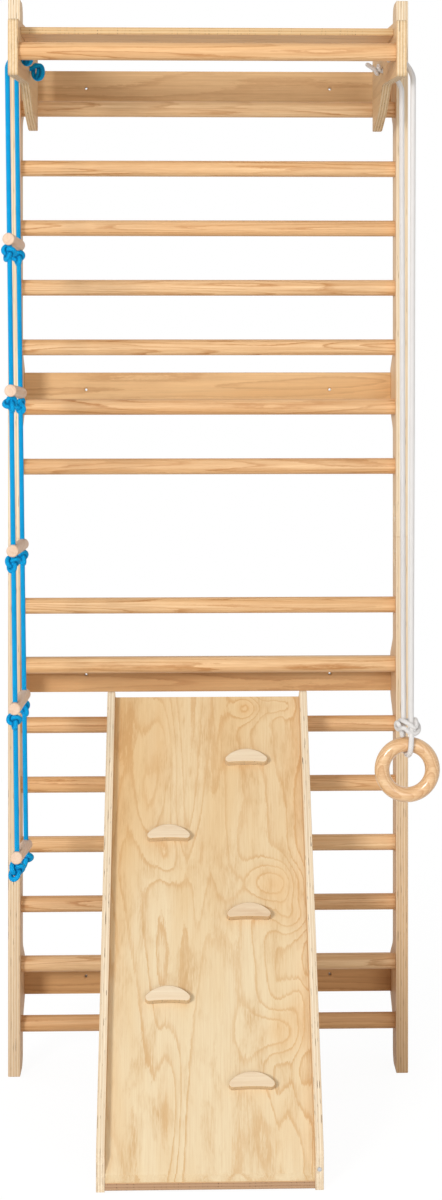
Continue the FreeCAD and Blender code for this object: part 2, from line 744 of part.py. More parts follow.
def ramp_face():
    """Plywood face trimmed to the toe, and the batten between the rails behind its head."""
    face = new_body("ramp_face", "ramp_shift - %s / 2" % face_width)
    floor_end = "(foot_rail_lift + foot_rail_height + fit_gap)"
    toe = "-ramp_reach + face_toe_setback"
    outline = [on_slope(ramp_slant + " - face_head_gap", "-" + depth)
               for depth in ("face_recess", "(face_recess + face_thick)")]
    outline += [("-ramp_reach + %s * %s / %s + (%s - toe_height) * %s / %s"
                 % (depth, ramp_slant, ramp_rise, floor_end, ramp_run, ramp_rise), floor_end)
                for depth in ("(face_recess + face_thick)", "face_recess")]
    pad(face, "YZ", outline, face_width)
    trim(face, "YZ", [("-ramp_reach - rail_depth", "0"), (toe, "0"), (toe, "toe_height"),
                      ("-ramp_reach - rail_depth", "toe_height")])
    batten = new_body("ramp_head_batten")
    tilt(batten)
    half = face_width + " / 2"
    under = "-face_recess - face_thick - batten_thick"
    low = ramp_slant + " - batten_drop - batten_height"
    high = ramp_slant + " - batten_drop"
    pad(batten, "XY", [("-" + half, low), (half, low), (half, high), ("-" + half, high)],
        "batten_thick", under)
    for sign, forward in ((-1, True), (1, False)):
        drill(batten, "YZ", [(batten_along, "-" + batten_under)], "screw_dia + 2 * fit_gap",
              "screw_length - rail_thick + fit_gap", "%d * %s" % (sign, half), forward=forward)


def ramp_foot():
    """Rail across the ramp's foot, and the screws through both side rails."""
    screws, bores = [], []
    for side, sign in sides:
        face = "ramp_shift + %d * ramp_width / 2" % sign
        for number, (y, z) in enumerate((foot_screw, batten_screw)):
            name = "ramp_%s_%d" % (side, number)
            screws.append(screw(name, sign, face, post_front + " + " + y, z))
            if number == 0:
                bores.append(screw_bore(name, sign, face, post_front + " + " + y, z))
    bar = box("foot_bar", face_width, "foot_rail_depth", "foot_rail_height", "ramp_shift - %s / 2" % face_width,
              "%s + %s" % (post_front, foot_rail_front), "foot_rail_lift")
    cut("ramp_foot_rail", bar, bores)
    x, y = "ramp_shift + ramp_width / 2 - rail_thick / 2", post_front + " - ramp_reach"
    shank = cylinder("toe_shank", "toe_screw_dia", "toe_screw_length", x, y, "toe_screw_height", y_axis)
    head = cylinder("toe_head", "toe_screw_head", "toe_screw_sink", x, y, "toe_screw_height", y_axis)
    toe_screw = doc.addObject("Part::Fuse", "toe_screw")
    toe_screw.Base = shank
    toe_screw.Tool = head
    group("ramp_screws", screws + [toe_screw])


def climbing_hold(number):
    """A half-moon hold, domed above and slightly dished below."""
    body = new_body("climbing_hold_%d" % (number + 1))
    side = "hold_side" if number % 2 == 0 else "-hold_side"
    tilt(body, "-face_recess", "%s - hold_first - %d * hold_pitch" % (ramp_slant, number))
    body.setExpression("Placement.Base.x", bound("%s + ramp_shift + %s" % (post_middle, side)))
    sketch = new_sketch(body, "XY")
    corner_x, corner_y = "hold_chord / 2", "hold_corner_rise - hold_height / 2"
    left = Vector(-value(corner_x), value(corner_y), 0)
    right = Vector(value(corner_x), value(corner_y), 0)
    crown = Vector(0, value("hold_height / 2"), 0)
    dish = Vector(0, value("hold_dish + hold_corner_rise - hold_height / 2"), 0)
    sketch.addGeometry(Part.Arc(right, crown, left))
    sketch.addGeometry(Part.Arc(right, dish, left))
    sketch.addGeometry(Part.Point(crown), True)
    sketch.addGeometry(Part.Point(dish), True)
    sketch.addConstraint(Sketcher.Constraint("Coincident", 0, 1, 1, 1))
    sketch.addConstraint(Sketcher.Constraint("Coincident", 0, 2, 1, 2))
    hold_point(sketch, 0, 1, corner_x, corner_y)
    hold_point(sketch, 0, 2, "-" + corner_x, corner_y)
    hold_point(sketch, 2, 1, "0", "hold_height / 2")
    hold_point(sketch, 3, 1, "0", "hold_dish + hold_corner_rise - hold_height / 2")
    sketch.addConstraint(Sketcher.Constraint("PointOnObject", 2, 1, 0))
    sketch.addConstraint(Sketcher.Constraint("PointOnObject", 3, 1, 1))
    feature = body.newObject("PartDesign::Pad", body.Label + "_pad")
    feature.Profile = sketch
    feature.setExpression("Length", bound("hold_thick"))
    doc.recompute()
    round_corners(body, [(corner_x, corner_y), ("-" + corner_x, corner_y)], "hold_round", "xy")
    rim = [number for number, edge in enumerate(body.Tip.Shape.Edges, start=1)
           if abs(edge.CenterOfMass.z - value("hold_thick")) < tolerance]
    dress(body, "Fillet", ["Edge%d" % number for number in rim], "Radius", "hold_edge")


def route_wire(points):
    """Straight runs joined by tangent arcs, each as large as its two runs allow."""
    edges, radii = [], []
    start = points[0]
    for before, corner, after in zip(points, points[1:], points[2:]):
        back = before - corner
        on = after - corner
        turn = math.pi - back.getAngle(on)
        reach = arc_reach_share * min(back.Length, on.Length)
        radius = reach / math.tan(turn / 2)
        back.normalize()
        on.normalize()
        inward = (back + on).normalize()
        centre_away = math.hypot(radius, reach)
        first, last = corner + back * reach, corner + on * reach
        edges.append(Part.LineSegment(start, first).toShape())
        edges.append(Part.Arc(first, corner + inward * (centre_away - radius), last).toShape())
        radii.append(round(radius, 1))
        start = last
    edges.append(Part.LineSegment(start, points[-1]).toShape())
    return Part.Wire(edges), radii


def rope_tube(label, points, diameter):
    """A rope's tube along its route; prints its length and arcs and compares its volume."""
    wire, radii = route_wire(points)
    circle = Part.Circle(points[0], points[1] - points[0], diameter / 2)
    tube = wire.makePipeShell([Part.Wire(circle.toShape())], True, False)
    expected = math.pi * diameter ** 2 / 4 * wire.Length
    print(label, "length", round(wire.Length, 1), "arc radii", radii,
          "volume against section times length", round(tube.Volume / expected, 4))
    return tube


def rope_start(side, reach):
    """Where a rope turns in its hole, just inside the panel's outer face."""
    across = "%s + canopy_shift + %d * (%s - rope_hole_flare)" % (post_middle, side, panel_outer)
    return Vector(value(across), value("%s - %s" % (post_front, reach)), value(rope_hole_height))


def end_knots(label, side, diameter):
    """Stopper knots on the panel's inner side, each with the rope's end in its hole."""
    knots = []
    for number, reach in enumerate(("rope_front_reach", "rope_back_reach")):
        turn = rope_start(side, reach)
        width = value("end_knot_width")
        inner = value("%s + canopy_shift + %d * %s" % (post_middle, side, panel_inner))
        centre = Vector(inner - side * (width / 2 + value("knot_gap")), turn.y, turn.z)
        ball = Part.makeSphere(width / 2, centre)
        gap = diameter / 2 + value("rope_play")
        stub = Part.makeCylinder(diameter / 2, abs(turn.x - centre.x) - gap, centre, Vector(side, 0, 0))
        knots.append(ball.fuse(stub))
    fixed_shape(label, Part.makeCompound(knots))


ladder_turn = "(ladder_stand_off + rope_hole_flare)"
ladder_middle = "(rope_front_reach + rope_back_reach) / 2"


def ladder_rung_height(number, reach=ladder_middle):
    """Height of a ladder rung's axis, which falls towards the wall by the rung's tilt."""
    return "(%s - ladder_rung_%d_drop + (%s - %s) * tan(ladder_rung_%d_tilt))" % (
        rope_hole_height, number, reach, ladder_middle, number)


def ladder_x(height):
    """Where the ladder's ropes are at a height: they lean in a little on their way down."""
    return "(canopy_shift - %s - ladder_stand_off + ladder_lean * (%s - %s - (%s)))" % (
        panel_outer, rope_hole_height, ladder_turn, height)


def knot_place(number, reach):
    """Height of the middle of the knot under a ladder rung."""
    below = "((ladder_rung_dia + knot_height) / 2 + knot_gap) / cos(ladder_rung_%d_tilt)" % number
    return "(%s - %s)" % (ladder_rung_height(number, reach), below)


def rope_ladder():
    """Two ropes through five rungs that run front to back, with a knot under each rung."""
    diameter = value("ladder_rope_dia")
    for name, reach in (("front", "rope_front_reach"), ("back", "rope_back_reach")):
        turn = rope_start(-1, reach)
        low = "(%s - knot_height / 2 - ladder_tail)" % knot_place(ladder_rung_count, reach)
        bend = "(%s - %s)" % (rope_hole_height, ladder_turn)
        route = [turn] + [Vector(value("%s + %s" % (post_middle, ladder_x(z))), turn.y, value(z))
                          for z in (bend, low)]
        tube = rope_tube("ladder_rope_" + name, route, diameter)
        tube = tube.fuse(Part.makeSphere(diameter / 2, turn))
        rope = fixed_shape("ladder_rope_" + name, tube.removeSplitter())
        knots = []
        for number in range(1, ladder_rung_count + 1):
            z = knot_place(number, reach)
            lump = ellipsoid("lump_%s_%d" % (name, number), "knot_width", "knot_width", "knot_height",
                             ladder_x(z), "%s - %s" % (post_front, reach), z)
            knot = doc.addObject("Part::Cut", "knot_%s_%d" % (name, number))
            knot.Base = lump
            knot.Tool = rope
            knots.append(knot)
        group("ladder_knots_" + name, knots)
    for number in range(1, ladder_rung_count + 1):
        ladder_rung(number)
    end_knots("ladder_end_knots", -1, diameter)


def ladder_rung(number):
    """A short round rung with chamfered ends and an upright hole for each rope."""
    height = ladder_rung_height(number)
    body = new_body("ladder_dowel_%d" % number, ladder_x(height), "%s - %s" % (post_front, ladder_middle), height)
    pieces.remove(body)
    body.Placement = Placement(body.Placement.Base, Rotation(x_axis, -1))
    body.setExpression("Placement.Rotation.Angle", bound("-ladder_rung_%d_tilt" % number))
    half = "(rope_front_reach - rope_back_reach) / 2 + ladder_rung_overhang"
    sketch = new_sketch(body, "XZ", half)
    draw_circles(sketch, [("0", "0")], "ladder_rung_dia")
    feature = body.newObject("PartDesign::Pad", body.Label + "_pad")
    feature.Profile = sketch
    feature.Reversed = True
    feature.setExpression("Length", bound("2 * (%s)" % half))
    doc.recompute()
    rims = [index for index, edge in enumerate(feature.Shape.Edges, start=1)
            if isinstance(edge.Curve, Part.Circle)]
    dress(body, "Chamfer", ["Edge%d" % index for index in rims], "Size", "ladder_rung_edge")
    ways = []
    for name, reach in (("front", "rope_front_reach"), ("back", "rope_back_reach")):
        middle = ladder_rung_height(number, reach)
        ways.append(cylinder("way_%s_%d" % (name, number), "ladder_rope_dia + rope_play", "3 * ladder_rung_dia",
                             ladder_x(middle), "%s - %s" % (post_front, reach),
                             middle + " - 1.5 * ladder_rung_dia"))
    cut("ladder_rung_%d" % number, body, ways)


def hanging_ring():
    """A wooden ring in the bight of one rope whose ends pass through the right panel."""
    diameter = value("ring_rope_dia")
    front, back = rope_start(1, "rope_front_reach"), rope_start(1, "rope_back_reach")
    out = value("%s + canopy_shift + %s + ring_stand_off" % (post_middle, panel_outer))
    fall = abs(out - front.x)
    middle = value("%s - (rope_front_reach + rope_back_reach) / 2" % post_front)
    ring_z = value(rope_hole_height + " - ring_drop")
    crown = ring_z + value("ring_across / 2")
    knot_z = value(rope_hole_height + " - ring_knot_drop")
    wrap = value("(ring_bar_dia + ring_rope_dia) / 2 + ring_rope_play")
    aside = value("ring_strand_gap")
    lean = value("ring_strand_lean")
    route = [front, Vector(out, front.y, front.z - fall),
             Vector(out + aside, middle - lean, knot_z + 2 * lean),
             Vector(out + aside, middle - wrap, crown + wrap),
             Vector(out + aside / 2, middle - wrap, crown - wrap),
             Vector(out - aside / 2, middle + wrap, crown - wrap),
             Vector(out - aside, middle + wrap, crown + wrap),
             Vector(out - aside, middle + lean, knot_z + 2 * lean),
             Vector(out, back.y, back.z - fall), back]
    tube = rope_tube("ring_rope", route, diameter)
    ends = [Part.makeSphere(diameter / 2, point) for point in (front, back)]
    rope = fixed_shape("ring_rope", tube.fuse(ends).removeSplitter())

    ring_x = "canopy_shift + %s + ring_stand_off" % panel_outer
    ring_y = "%s - (rope_front_reach + rope_back_reach) / 2" % post_front
    lump = ellipsoid("ring_lump", "ring_knot_width", "ring_knot_depth", "ring_knot_height",
                     ring_x, ring_y, rope_hole_height + " - ring_knot_drop")
    cut("ring_knot", lump, [rope])
    ring = doc.addObject("Part::Torus", "gym_ring")
    ring.Label = "gym_ring"
    ring.setExpression("Radius1", bound("ring_across / 2"))
    ring.setExpression("Radius2", bound("ring_bar_dia / 2"))
    ring.Placement = Placement(Vector(0, 0, 0), Rotation(Vector(0, 0, 1), y_axis))
    place(ring, ring_x, ring_y, rope_hole_height + " - ring_drop")
    pieces.append(ring)
    end_knots("ring_end_knots", 1, diameter)


for side, sign in sides:
    post_half("%s_post_lower" % side, sign, False)
    post_half("%s_post_upper" % side, sign, True)
    canopy_panel("%s_canopy_panel" % side, sign)
    ramp_rail("%s_ramp_rail" % side, sign)
post_joint()
for number in range(1, 2 * int(value("rungs_per_half")) + 1):
    rung(number)
for label, low in boards:
    wall_board(label, low)
board_fixings()
canopy()
ramp_face()
ramp_foot()
for number in range(hold_count):
    climbing_hold(number)
rope_ladder()
hanging_ring()
doc.recompute()

faults = [item.Name for item in doc.Objects if {"Invalid", "Error"} & set(item.State)]
faults += [piece.Label for piece in pieces if piece.Shape.isNull() or not piece.Shape.isValid()]
if faults:
    raise RuntimeError("failed objects: " + ", ".join(faults))
os.makedirs("parts", exist_ok=True)
for piece in pieces:
    piece.Shape.exportStep("parts/%s.step" % piece.Label)
print(len(pieces), "nodes written")
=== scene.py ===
import math

import bmesh
import bpy
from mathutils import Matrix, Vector
from mathutils.kdtree import KDTree


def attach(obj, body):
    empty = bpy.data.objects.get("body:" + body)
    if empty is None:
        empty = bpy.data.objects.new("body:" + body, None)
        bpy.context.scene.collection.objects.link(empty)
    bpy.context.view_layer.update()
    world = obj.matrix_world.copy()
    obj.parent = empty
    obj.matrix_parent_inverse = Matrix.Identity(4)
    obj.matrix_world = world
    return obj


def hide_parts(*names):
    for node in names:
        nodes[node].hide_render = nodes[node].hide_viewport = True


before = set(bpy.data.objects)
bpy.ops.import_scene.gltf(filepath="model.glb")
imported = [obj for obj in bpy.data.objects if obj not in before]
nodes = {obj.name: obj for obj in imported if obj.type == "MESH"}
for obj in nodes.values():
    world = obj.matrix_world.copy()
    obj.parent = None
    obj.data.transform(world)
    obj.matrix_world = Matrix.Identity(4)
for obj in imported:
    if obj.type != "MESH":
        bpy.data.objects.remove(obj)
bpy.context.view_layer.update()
scene = bpy.context.scene

# the photograph's camera: upright lines stay upright, so the height is taken up by the shift
cameraView = {
    "place": (-0.055, -3.9835, 1.51),
    "turn": 1.6,
    "lens": 63.0,
    "shift": (-0.0214, -0.2333),
}


def placeCamera():
    data = bpy.data.cameras.new("photoCamera")
    data.sensor_fit = "VERTICAL"
    data.sensor_height = 36.0
    data.lens = cameraView["lens"]
    data.shift_x, data.shift_y = cameraView["shift"]
    camera = bpy.data.objects.new("photoCamera", data)
    camera.location = cameraView["place"]
    camera.rotation_euler = (math.radians(90), 0, -math.radians(cameraView["turn"]))
    scene.collection.objects.link(camera)
    scene.camera = camera


placeCamera()
print("camera placed")


def colour(red, green, blue):
    return (red, green, blue, 1.0)


# helpers for node trees
def wire(tree, socket, source):
    if isinstance(source, bpy.types.NodeSocket):
        tree.links.new(source, socket)
    else:
        socket.default_value = source


def addNode(tree, kind, inputs=None, **settings):
    node = tree.nodes.new(kind)
    for key, setting in settings.items():
        setattr(node, key, setting)
    for key, source in (inputs or {}).items():
        wire(tree, node.inputs[key], source)
    return node


def maths(tree, operation, first, second=0.0):
    inputs = {0: first, 1: second}
    return addNode(tree, "ShaderNodeMath", inputs, operation=operation).outputs[0]


def plus(tree, first, second):
    return maths(tree, "ADD", first, second)


def minus(tree, first, second):
    return maths(tree, "SUBTRACT", first, second)


def times(tree, first, second):
    return maths(tree, "MULTIPLY", first, second)


def scaled(tree, vector, by):
    return addNode(tree, "ShaderNodeVectorMath", {0: vector, 1: by}, operation="MULTIPLY").outputs[0]


def dot(tree, vector, axis):
    node = addNode(tree, "ShaderNodeVectorMath", {0: vector, 1: axis}, operation="DOT_PRODUCT")
    return node.outputs["Value"]


def noise(tree, vector, scale, detail=2.0, roughness=0.5, distortion=0.0):
    return addNode(tree, "ShaderNodeTexNoise", {
        "Vector": vector, "Scale": scale, "Detail": detail, "Roughness": roughness,
        "Distortion": distortion}).outputs[0]


def mixColour(tree, factor, first, second, kind="MIX"):
    node = addNode(tree, "ShaderNodeMix", data_type="RGBA", blend_type=kind)
    for index, source in ((0, factor), (6, first), (7, second)):
        wire(tree, node.inputs[index], source)
    return node.outputs[2]


def spread(tree, source, low, high, lowest=0.0, highest=1.0, smooth=False):
    inputs = {0: source, 1: low, 2: high, 3: lowest, 4: highest}
    kind = "SMOOTHSTEP" if smooth else "LINEAR"
    return addNode(tree, "ShaderNodeMapRange", inputs, interpolation_type=kind).outputs[0]


def newGroup(name, inputs, outputs):
    tree = bpy.data.node_groups.new(name, "ShaderNodeTree")
    for label, kind, setting in inputs:
        socket = tree.interface.new_socket(label, in_out="INPUT", socket_type="NodeSocket" + kind)
        if setting is not None:
            socket.default_value = setting
    for label in outputs:
        tree.interface.new_socket(label, in_out="OUTPUT", socket_type="NodeSocketFloat")
    return tree, tree.nodes.new("NodeGroupInput").outputs, tree.nodes.new("NodeGroupOutput").inputs


def useGroup(tree, group, **inputs):
    node = tree.nodes.new("ShaderNodeGroup")
    node.node_tree = group
    for key, source in inputs.items():
        wire(tree, node.inputs[key], source)
    return node.outputs


# how many marks there are to a metre, along the grain and twice across it
grainMarks = {
    "fibres": (18.0, 800.0, 800.0),
    "tears": (34.0, 150.0, 150.0),
    "streaks": (2.2, 210.0, 210.0),
    "clouds": (9.0, 24.0, 24.0),
    "flecks": (45.0, 420.0, 420.0),
}


# growth rings as contour lines of a long soft noise; the grain runs along the vector's X
def makeGrainGroup():
    tree, given, result = newGroup(
        "woodGrain",
        [("Vector", "Vector", None), ("Stretch", "Float", 0.1), ("Size", "Float", 0.06),
         ("Rings", "Float", 12.0), ("Figure", "Float", 0.0), ("Wander", "Float", 0.25),
         ("Ragged", "Float", 0.3), ("Crisp", "Float", 0.65), ("Waver", "Float", 1.0)],
        ["Ring", "Tone", "Streak", "Fibre", "Patch", "Height"])

    def marks(name, detail, roughness):
        return noise(tree, scaled(tree, given["Vector"], grainMarks[name]), 1.0, detail, roughness)

    stretch = addNode(tree, "ShaderNodeCombineXYZ", {"X": given["Stretch"], "Y": 1.0, "Z": 1.0}).outputs[0]
    long = scaled(tree, given["Vector"], stretch)
    frequency = maths(tree, "DIVIDE", 1.0, given["Size"])
    waver = times(tree, noise(tree, long, frequency, 1.8, 0.4, given["Wander"]), given["Waver"])
    field = plus(tree, waver, given["Figure"])
    fine = marks("fibres", 3.0, 0.65)
    torn = plus(tree, fine, marks("tears", 3.0, 0.7))
    frayed = plus(tree, times(tree, field, given["Rings"]), times(tree, torn, given["Ragged"]))

    # each ring darkens softly or sharply towards its latewood line, then drops
    saw = maths(tree, "FRACT", frayed)
    soft = spread(tree, saw, 0.1, 0.88, smooth=True)
    sharp = spread(tree, saw, 0.68, 0.92, smooth=True)
    fall = spread(tree, saw, 0.92, 1.0, 1.0, 0.0, smooth=True)
    rise = plus(tree, times(tree, soft, minus(tree, 1.0, given["Crisp"])), times(tree, sharp, given["Crisp"]))
    strength = spread(tree, noise(tree, long, times(tree, frequency, 1.7), 2.0), 0.3, 0.62, 0.3, 1.0)
    ring = times(tree, times(tree, rise, fall), strength)
    wire(tree, result["Ring"], ring)

    tone = noise(tree, long, times(tree, frequency, 0.6), 3.0, 0.6, 0.4)
    wire(tree, result["Tone"], spread(tree, tone, 0.4, 0.66))
    wire(tree, result["Streak"], spread(tree, marks("streaks", 3.0, 0.6), 0.36, 0.66))
    wire(tree, result["Fibre"], spread(tree, fine, 0.4, 0.72))
    cloud = noise(tree, scaled(tree, given["Vector"], grainMarks["clouds"]), 1.0, 4.0, 0.62, 0.3)
    flecks = spread(tree, marks("flecks", 2.0, 0.6), 0.36, 0.66, 0.25, 1.0)
    wire(tree, result["Patch"], times(tree, spread(tree, cloud, 0.48, 0.68), flecks))
    wire(tree, result["Height"], minus(tree, times(tree, ring, 0.35), times(tree, fine, 0.5)))
    return tree


# knots that the growth rings flow round, as soft hills added to the rings' field
def makeSwirlGroup(name, slant, swirls):
    tree, given, result = newGroup(name, [("Vector", "Vector", None)], ["Figure", "Knot"])
    total = 0.0
    for along, across, length, width, rise in swirls:
        middle = (along, across, 0.0)
        shifted = addNode(tree, "ShaderNodeVectorMath", {0: given["Vector"], 1: middle}, operation="SUBTRACT")
        flat = scaled(tree, shifted.outputs[0], (1.0 / length, 1.0 / width, 0.0))
        hill = maths(tree, "EXPONENT", times(tree, dot(tree, flat, flat), -1.0))
        total = plus(tree, total, times(tree, hill, rise))
    across = times(tree, dot(tree, given["Vector"], (0.0, 1.0, 0.0)), slant)
    wire(tree, result["Figure"], plus(tree, across, total))
    wire(tree, result["Knot"], total)
    return tree


# stacked plies seen on a cut edge, with the odd open gap in a core ply
def makePlyGroup():
    tree, given, result = newGroup(
        "plyEdge",
        [("Vector", "Vector", None), ("Axis", "Vector", (1.0, 0.0, 0.0)), ("Ply", "Float", 0.00267)],
        ["Core", "Line", "Void", "Height"])
    depth = dot(tree, given["Vector"], given["Axis"])
    wobble = times(tree, noise(tree, given["Vector"], 11.0, 2.0), 0.7)
    place = plus(tree, maths(tree, "DIVIDE", depth, given["Ply"]), wobble)
    saw = maths(tree, "FRACT", times(tree, place, 0.5))  # runs over two plies, a face one and a core one
    core = times(tree, spread(tree, saw, 0.46, 0.54), spread(tree, saw, 0.94, 1.0, 1.0, 0.0))
    glue = maths(tree, "ABSOLUTE", minus(tree, maths(tree, "FRACT", place), 0.5))
    line = spread(tree, glue, 0.4, 0.5)
    gaps = noise(tree, scaled(tree, given["Vector"], (900.0, 60.0, 24.0)), 1.0, 1.0)
    wire(tree, result["Core"], core)
    wire(tree, result["Line"], line)
    wire(tree, result["Void"], times(tree, core, spread(tree, gaps, 0.66, 0.685)))
    wire(tree, result["Height"], minus(tree, times(tree, core, -0.5), line))
    return tree


# satin lacquer: rubbed patches in its gloss and fine dust nibs
def makeLacquerGroup():
    tree, given, result = newGroup(
        "satinLacquer",
        [("Vector", "Vector", None), ("Gloss", "Float", 0.5), ("Grain Height", "Float", 0.0)],
        ["Roughness", "Height"])
    rubbed = times(tree, noise(tree, given["Vector"], 7.0, 3.0), 0.14)
    nibs = noise(tree, given["Vector"], 1400.0, 1.0)
    rough = minus(tree, plus(tree, 0.68, rubbed), times(tree, given["Gloss"], 0.5))
    wire(tree, result["Roughness"], plus(tree, rough, times(tree, nibs, 0.06)))
    dust = times(tree, spread(tree, nibs, 0.72, 0.8), 0.3)
    wire(tree, result["Height"], plus(tree, given["Grain Height"], dust))
    return tree


# braided sleeve on a rope: two families of slanting strands that pass over and under each other
def makeBraidGroup():
    tree, given, result = newGroup(
        "ropeBraid",
        [("Around", "Float", 0.0), ("Along", "Float", 0.0), ("Strands", "Float", 8.0), ("Lay", "Float", 1.1)],
        ["Strand", "Gap", "Height"])

    def arch(place):
        return maths(tree, "SINE", times(tree, maths(tree, "FRACT", place), math.pi))

    turn = times(tree, given["Around"], given["Strands"])
    run = times(tree, given["Along"], given["Lay"])
    left, right = plus(tree, turn, run), minus(tree, turn, run)
    cells = plus(tree, maths(tree, "FLOOR", left), maths(tree, "FLOOR", right))
    odd = times(tree, maths(tree, "FRACT", times(tree, cells, 0.5)), 2.0)
    domes = []
    for across, length in ((left, right), (right, left)):
        crown = plus(tree, 0.45, times(tree, arch(length), 0.55))
        domes.append(maths(tree, "POWER", times(tree, arch(across), crown), 0.7))
    dome = plus(tree, times(tree, domes[0], odd), times(tree, domes[1], minus(tree, 1.0, odd)))
    wire(tree, result["Strand"], odd)
    # the low gaps between strands get painted shade
    wire(tree, result["Gap"], spread(tree, dome, 0.05, 0.4, 1.0, 0.0))
    wire(tree, result["Height"], dome)
    return tree


grainGroup = makeGrainGroup()
plyGroup = makePlyGroup()
lacquerGroup = makeLacquerGroup()
braidGroup = makeBraidGroup()

# how many metres high the bumps of each finish are
lacquerDepth = 0.00012
braidDepth = 0.0012
brushedDepth = 0.00003


def newMaterial(name):
    material = bpy.data.materials.new(name)
    material.use_nodes = True
    tree = material.node_tree
    tree.nodes.clear()
    shader = addNode(tree, "ShaderNodeBsdfPrincipled")
    addNode(tree, "ShaderNodeOutputMaterial", {"Surface": shader.outputs[0]})
    return material, tree, shader


def addBump(tree, shader, height, distance):
    bump = addNode(tree, "ShaderNodeBump", {"Height": height, "Distance": distance, "Strength": 1.0})
    wire(tree, shader.inputs["Normal"], bump.outputs[0])


def objectPlace(tree):
    return addNode(tree, "ShaderNodeTexCoord").outputs["Object"]


def turned(tree, vector, turn):
    return addNode(tree, "ShaderNodeMapping", {"Vector": vector, "Rotation": turn}).outputs[0]


def attributeValue(tree, name):
    return addNode(tree, "ShaderNodeAttribute", attribute_name=name).outputs["Fac"]


def woodColour(tree, grain, looks):
    base = mixColour(tree, grain["Tone"], looks["pale"], looks["warm"])
    base = mixColour(tree, times(tree, grain["Streak"], looks["streak"]), base, looks["deep"])
    base = mixColour(tree, times(tree, grain["Ring"], looks["contrast"]), base, looks["ring"])
    if "patch" in looks:
        base = mixColour(tree, times(tree, grain["Patch"], looks["patch"]), base, looks["deep"])
    return mixColour(tree, times(tree, grain["Fibre"], looks["fibre"]), base, looks["ring"])


def woodGrain(tree, place, looks, **extra):
    labels = ("Stretch", "Size", "Rings", "Wander", "Ragged", "Crisp", "Waver")
    settings = {label: looks[label.lower()] for label in labels}
    return useGroup(tree, grainGroup, Vector=place, **settings, **extra)


def tonedAndShaded(tree, base, looks):
    # each rung's or board's timber is a little lighter or darker; on some boards and on the lower posts this
    # darkening is painted shade
    dark = mixColour(tree, 1.0, base, looks["shade"], "MULTIPLY")
    return mixColour(tree, attributeValue(tree, "timberTone"), base, dark)


# turned pine or beech: rungs, bar, ring, dowels
def makeTurnedWood(name, looks):
    material, tree, shader = newMaterial(name)
    place = turned(tree, objectPlace(tree), looks["turn"])
    layers = {"Figure": dot(tree, place, looks["layers"])} if "layers" in looks else {}
    grain = woodGrain(tree, place, looks, **layers)
    wire(tree, shader.inputs["Base Color"], tonedAndShaded(tree, woodColour(tree, grain, looks), looks))
    lacquer = useGroup(tree, lacquerGroup, Vector=place, Gloss=looks["gloss"])
    wire(tree, shader.inputs["Roughness"], lacquer["Roughness"])
    shader.inputs["Specular IOR Level"].default_value = 0.4
    shader.inputs["Coat Weight"].default_value = looks["coat"]
    shader.inputs["Coat Roughness"].default_value = 0.18
    addBump(tree, shader, plus(tree, times(tree, grain["Height"], 0.6), lacquer["Height"]), lacquerDepth)
    return material


# veneer with a figure of knots and a warmer head, where the looks name them
def veneerColour(tree, place, looks):
    swirl = useGroup(tree, looks["figure"], Vector=place) if "figure" in looks else {}
    grain = woodGrain(tree, place, looks, **({"Figure": swirl["Figure"]} if swirl else {}))
    veneer = woodColour(tree, grain, looks)
    if swirl:
        patchy = plus(tree, 0.25, times(tree, grain["Tone"], 0.75))
        glow = times(tree, spread(tree, swirl["Knot"], 0.08, 0.3), patchy)
        veneer = mixColour(tree, times(tree, glow, 0.65), veneer, looks["knot"])
    if "head" in looks:
        start, end = looks["headSpan"]
        upTo = spread(tree, dot(tree, place, (1.0, 0.0, 0.0)), start, end)
        veneer = mixColour(tree, upTo, veneer, mixColour(tree, 1.0, veneer, looks["head"], "MULTIPLY"))
    return veneer, grain


# plywood: veneer on the faces that look along the stack, plies on every other side
def makePlywood(name, looks):
    material, tree, shader = newMaterial(name)
    plain = objectPlace(tree)
    facing = addNode(tree, "ShaderNodeTexCoord").outputs["Normal"]
    veneer, grain = veneerColour(tree, turned(tree, plain, looks["turn"]), looks)
    ply = useGroup(tree, plyGroup, Vector=plain, Axis=looks["stack"], Ply=looks["ply"])
    isFace = spread(tree, maths(tree, "ABSOLUTE", dot(tree, facing, looks["stack"])), 0.55, 0.8)
    edge = mixColour(tree, ply["Core"], looks["edgePale"], looks["edgeCore"])
    for mark, share in ((ply["Line"], looks["lines"]), (grain["Streak"], 0.22), (grain["Fibre"], 0.25)):
        edge = mixColour(tree, times(tree, mark, share), edge, looks["edgeLine"])
    edge = mixColour(tree, ply["Void"], edge, looks["void"])
    wire(tree, shader.inputs["Base Color"], tonedAndShaded(tree, mixColour(tree, isFace, edge, veneer), looks))
    plyHeight = times(tree, ply["Height"], minus(tree, 1.0, isFace))
    height = plus(tree, times(tree, grain["Height"], 0.5), plyHeight)
    lacquer = useGroup(tree, lacquerGroup, Vector=plain, Gloss=looks["gloss"], **{"Grain Height": height})
    wire(tree, shader.inputs["Roughness"], lacquer["Roughness"])
    shader.inputs["Specular IOR Level"].default_value = 0.35
    addBump(tree, shader, lacquer["Height"], lacquerDepth)
    return material


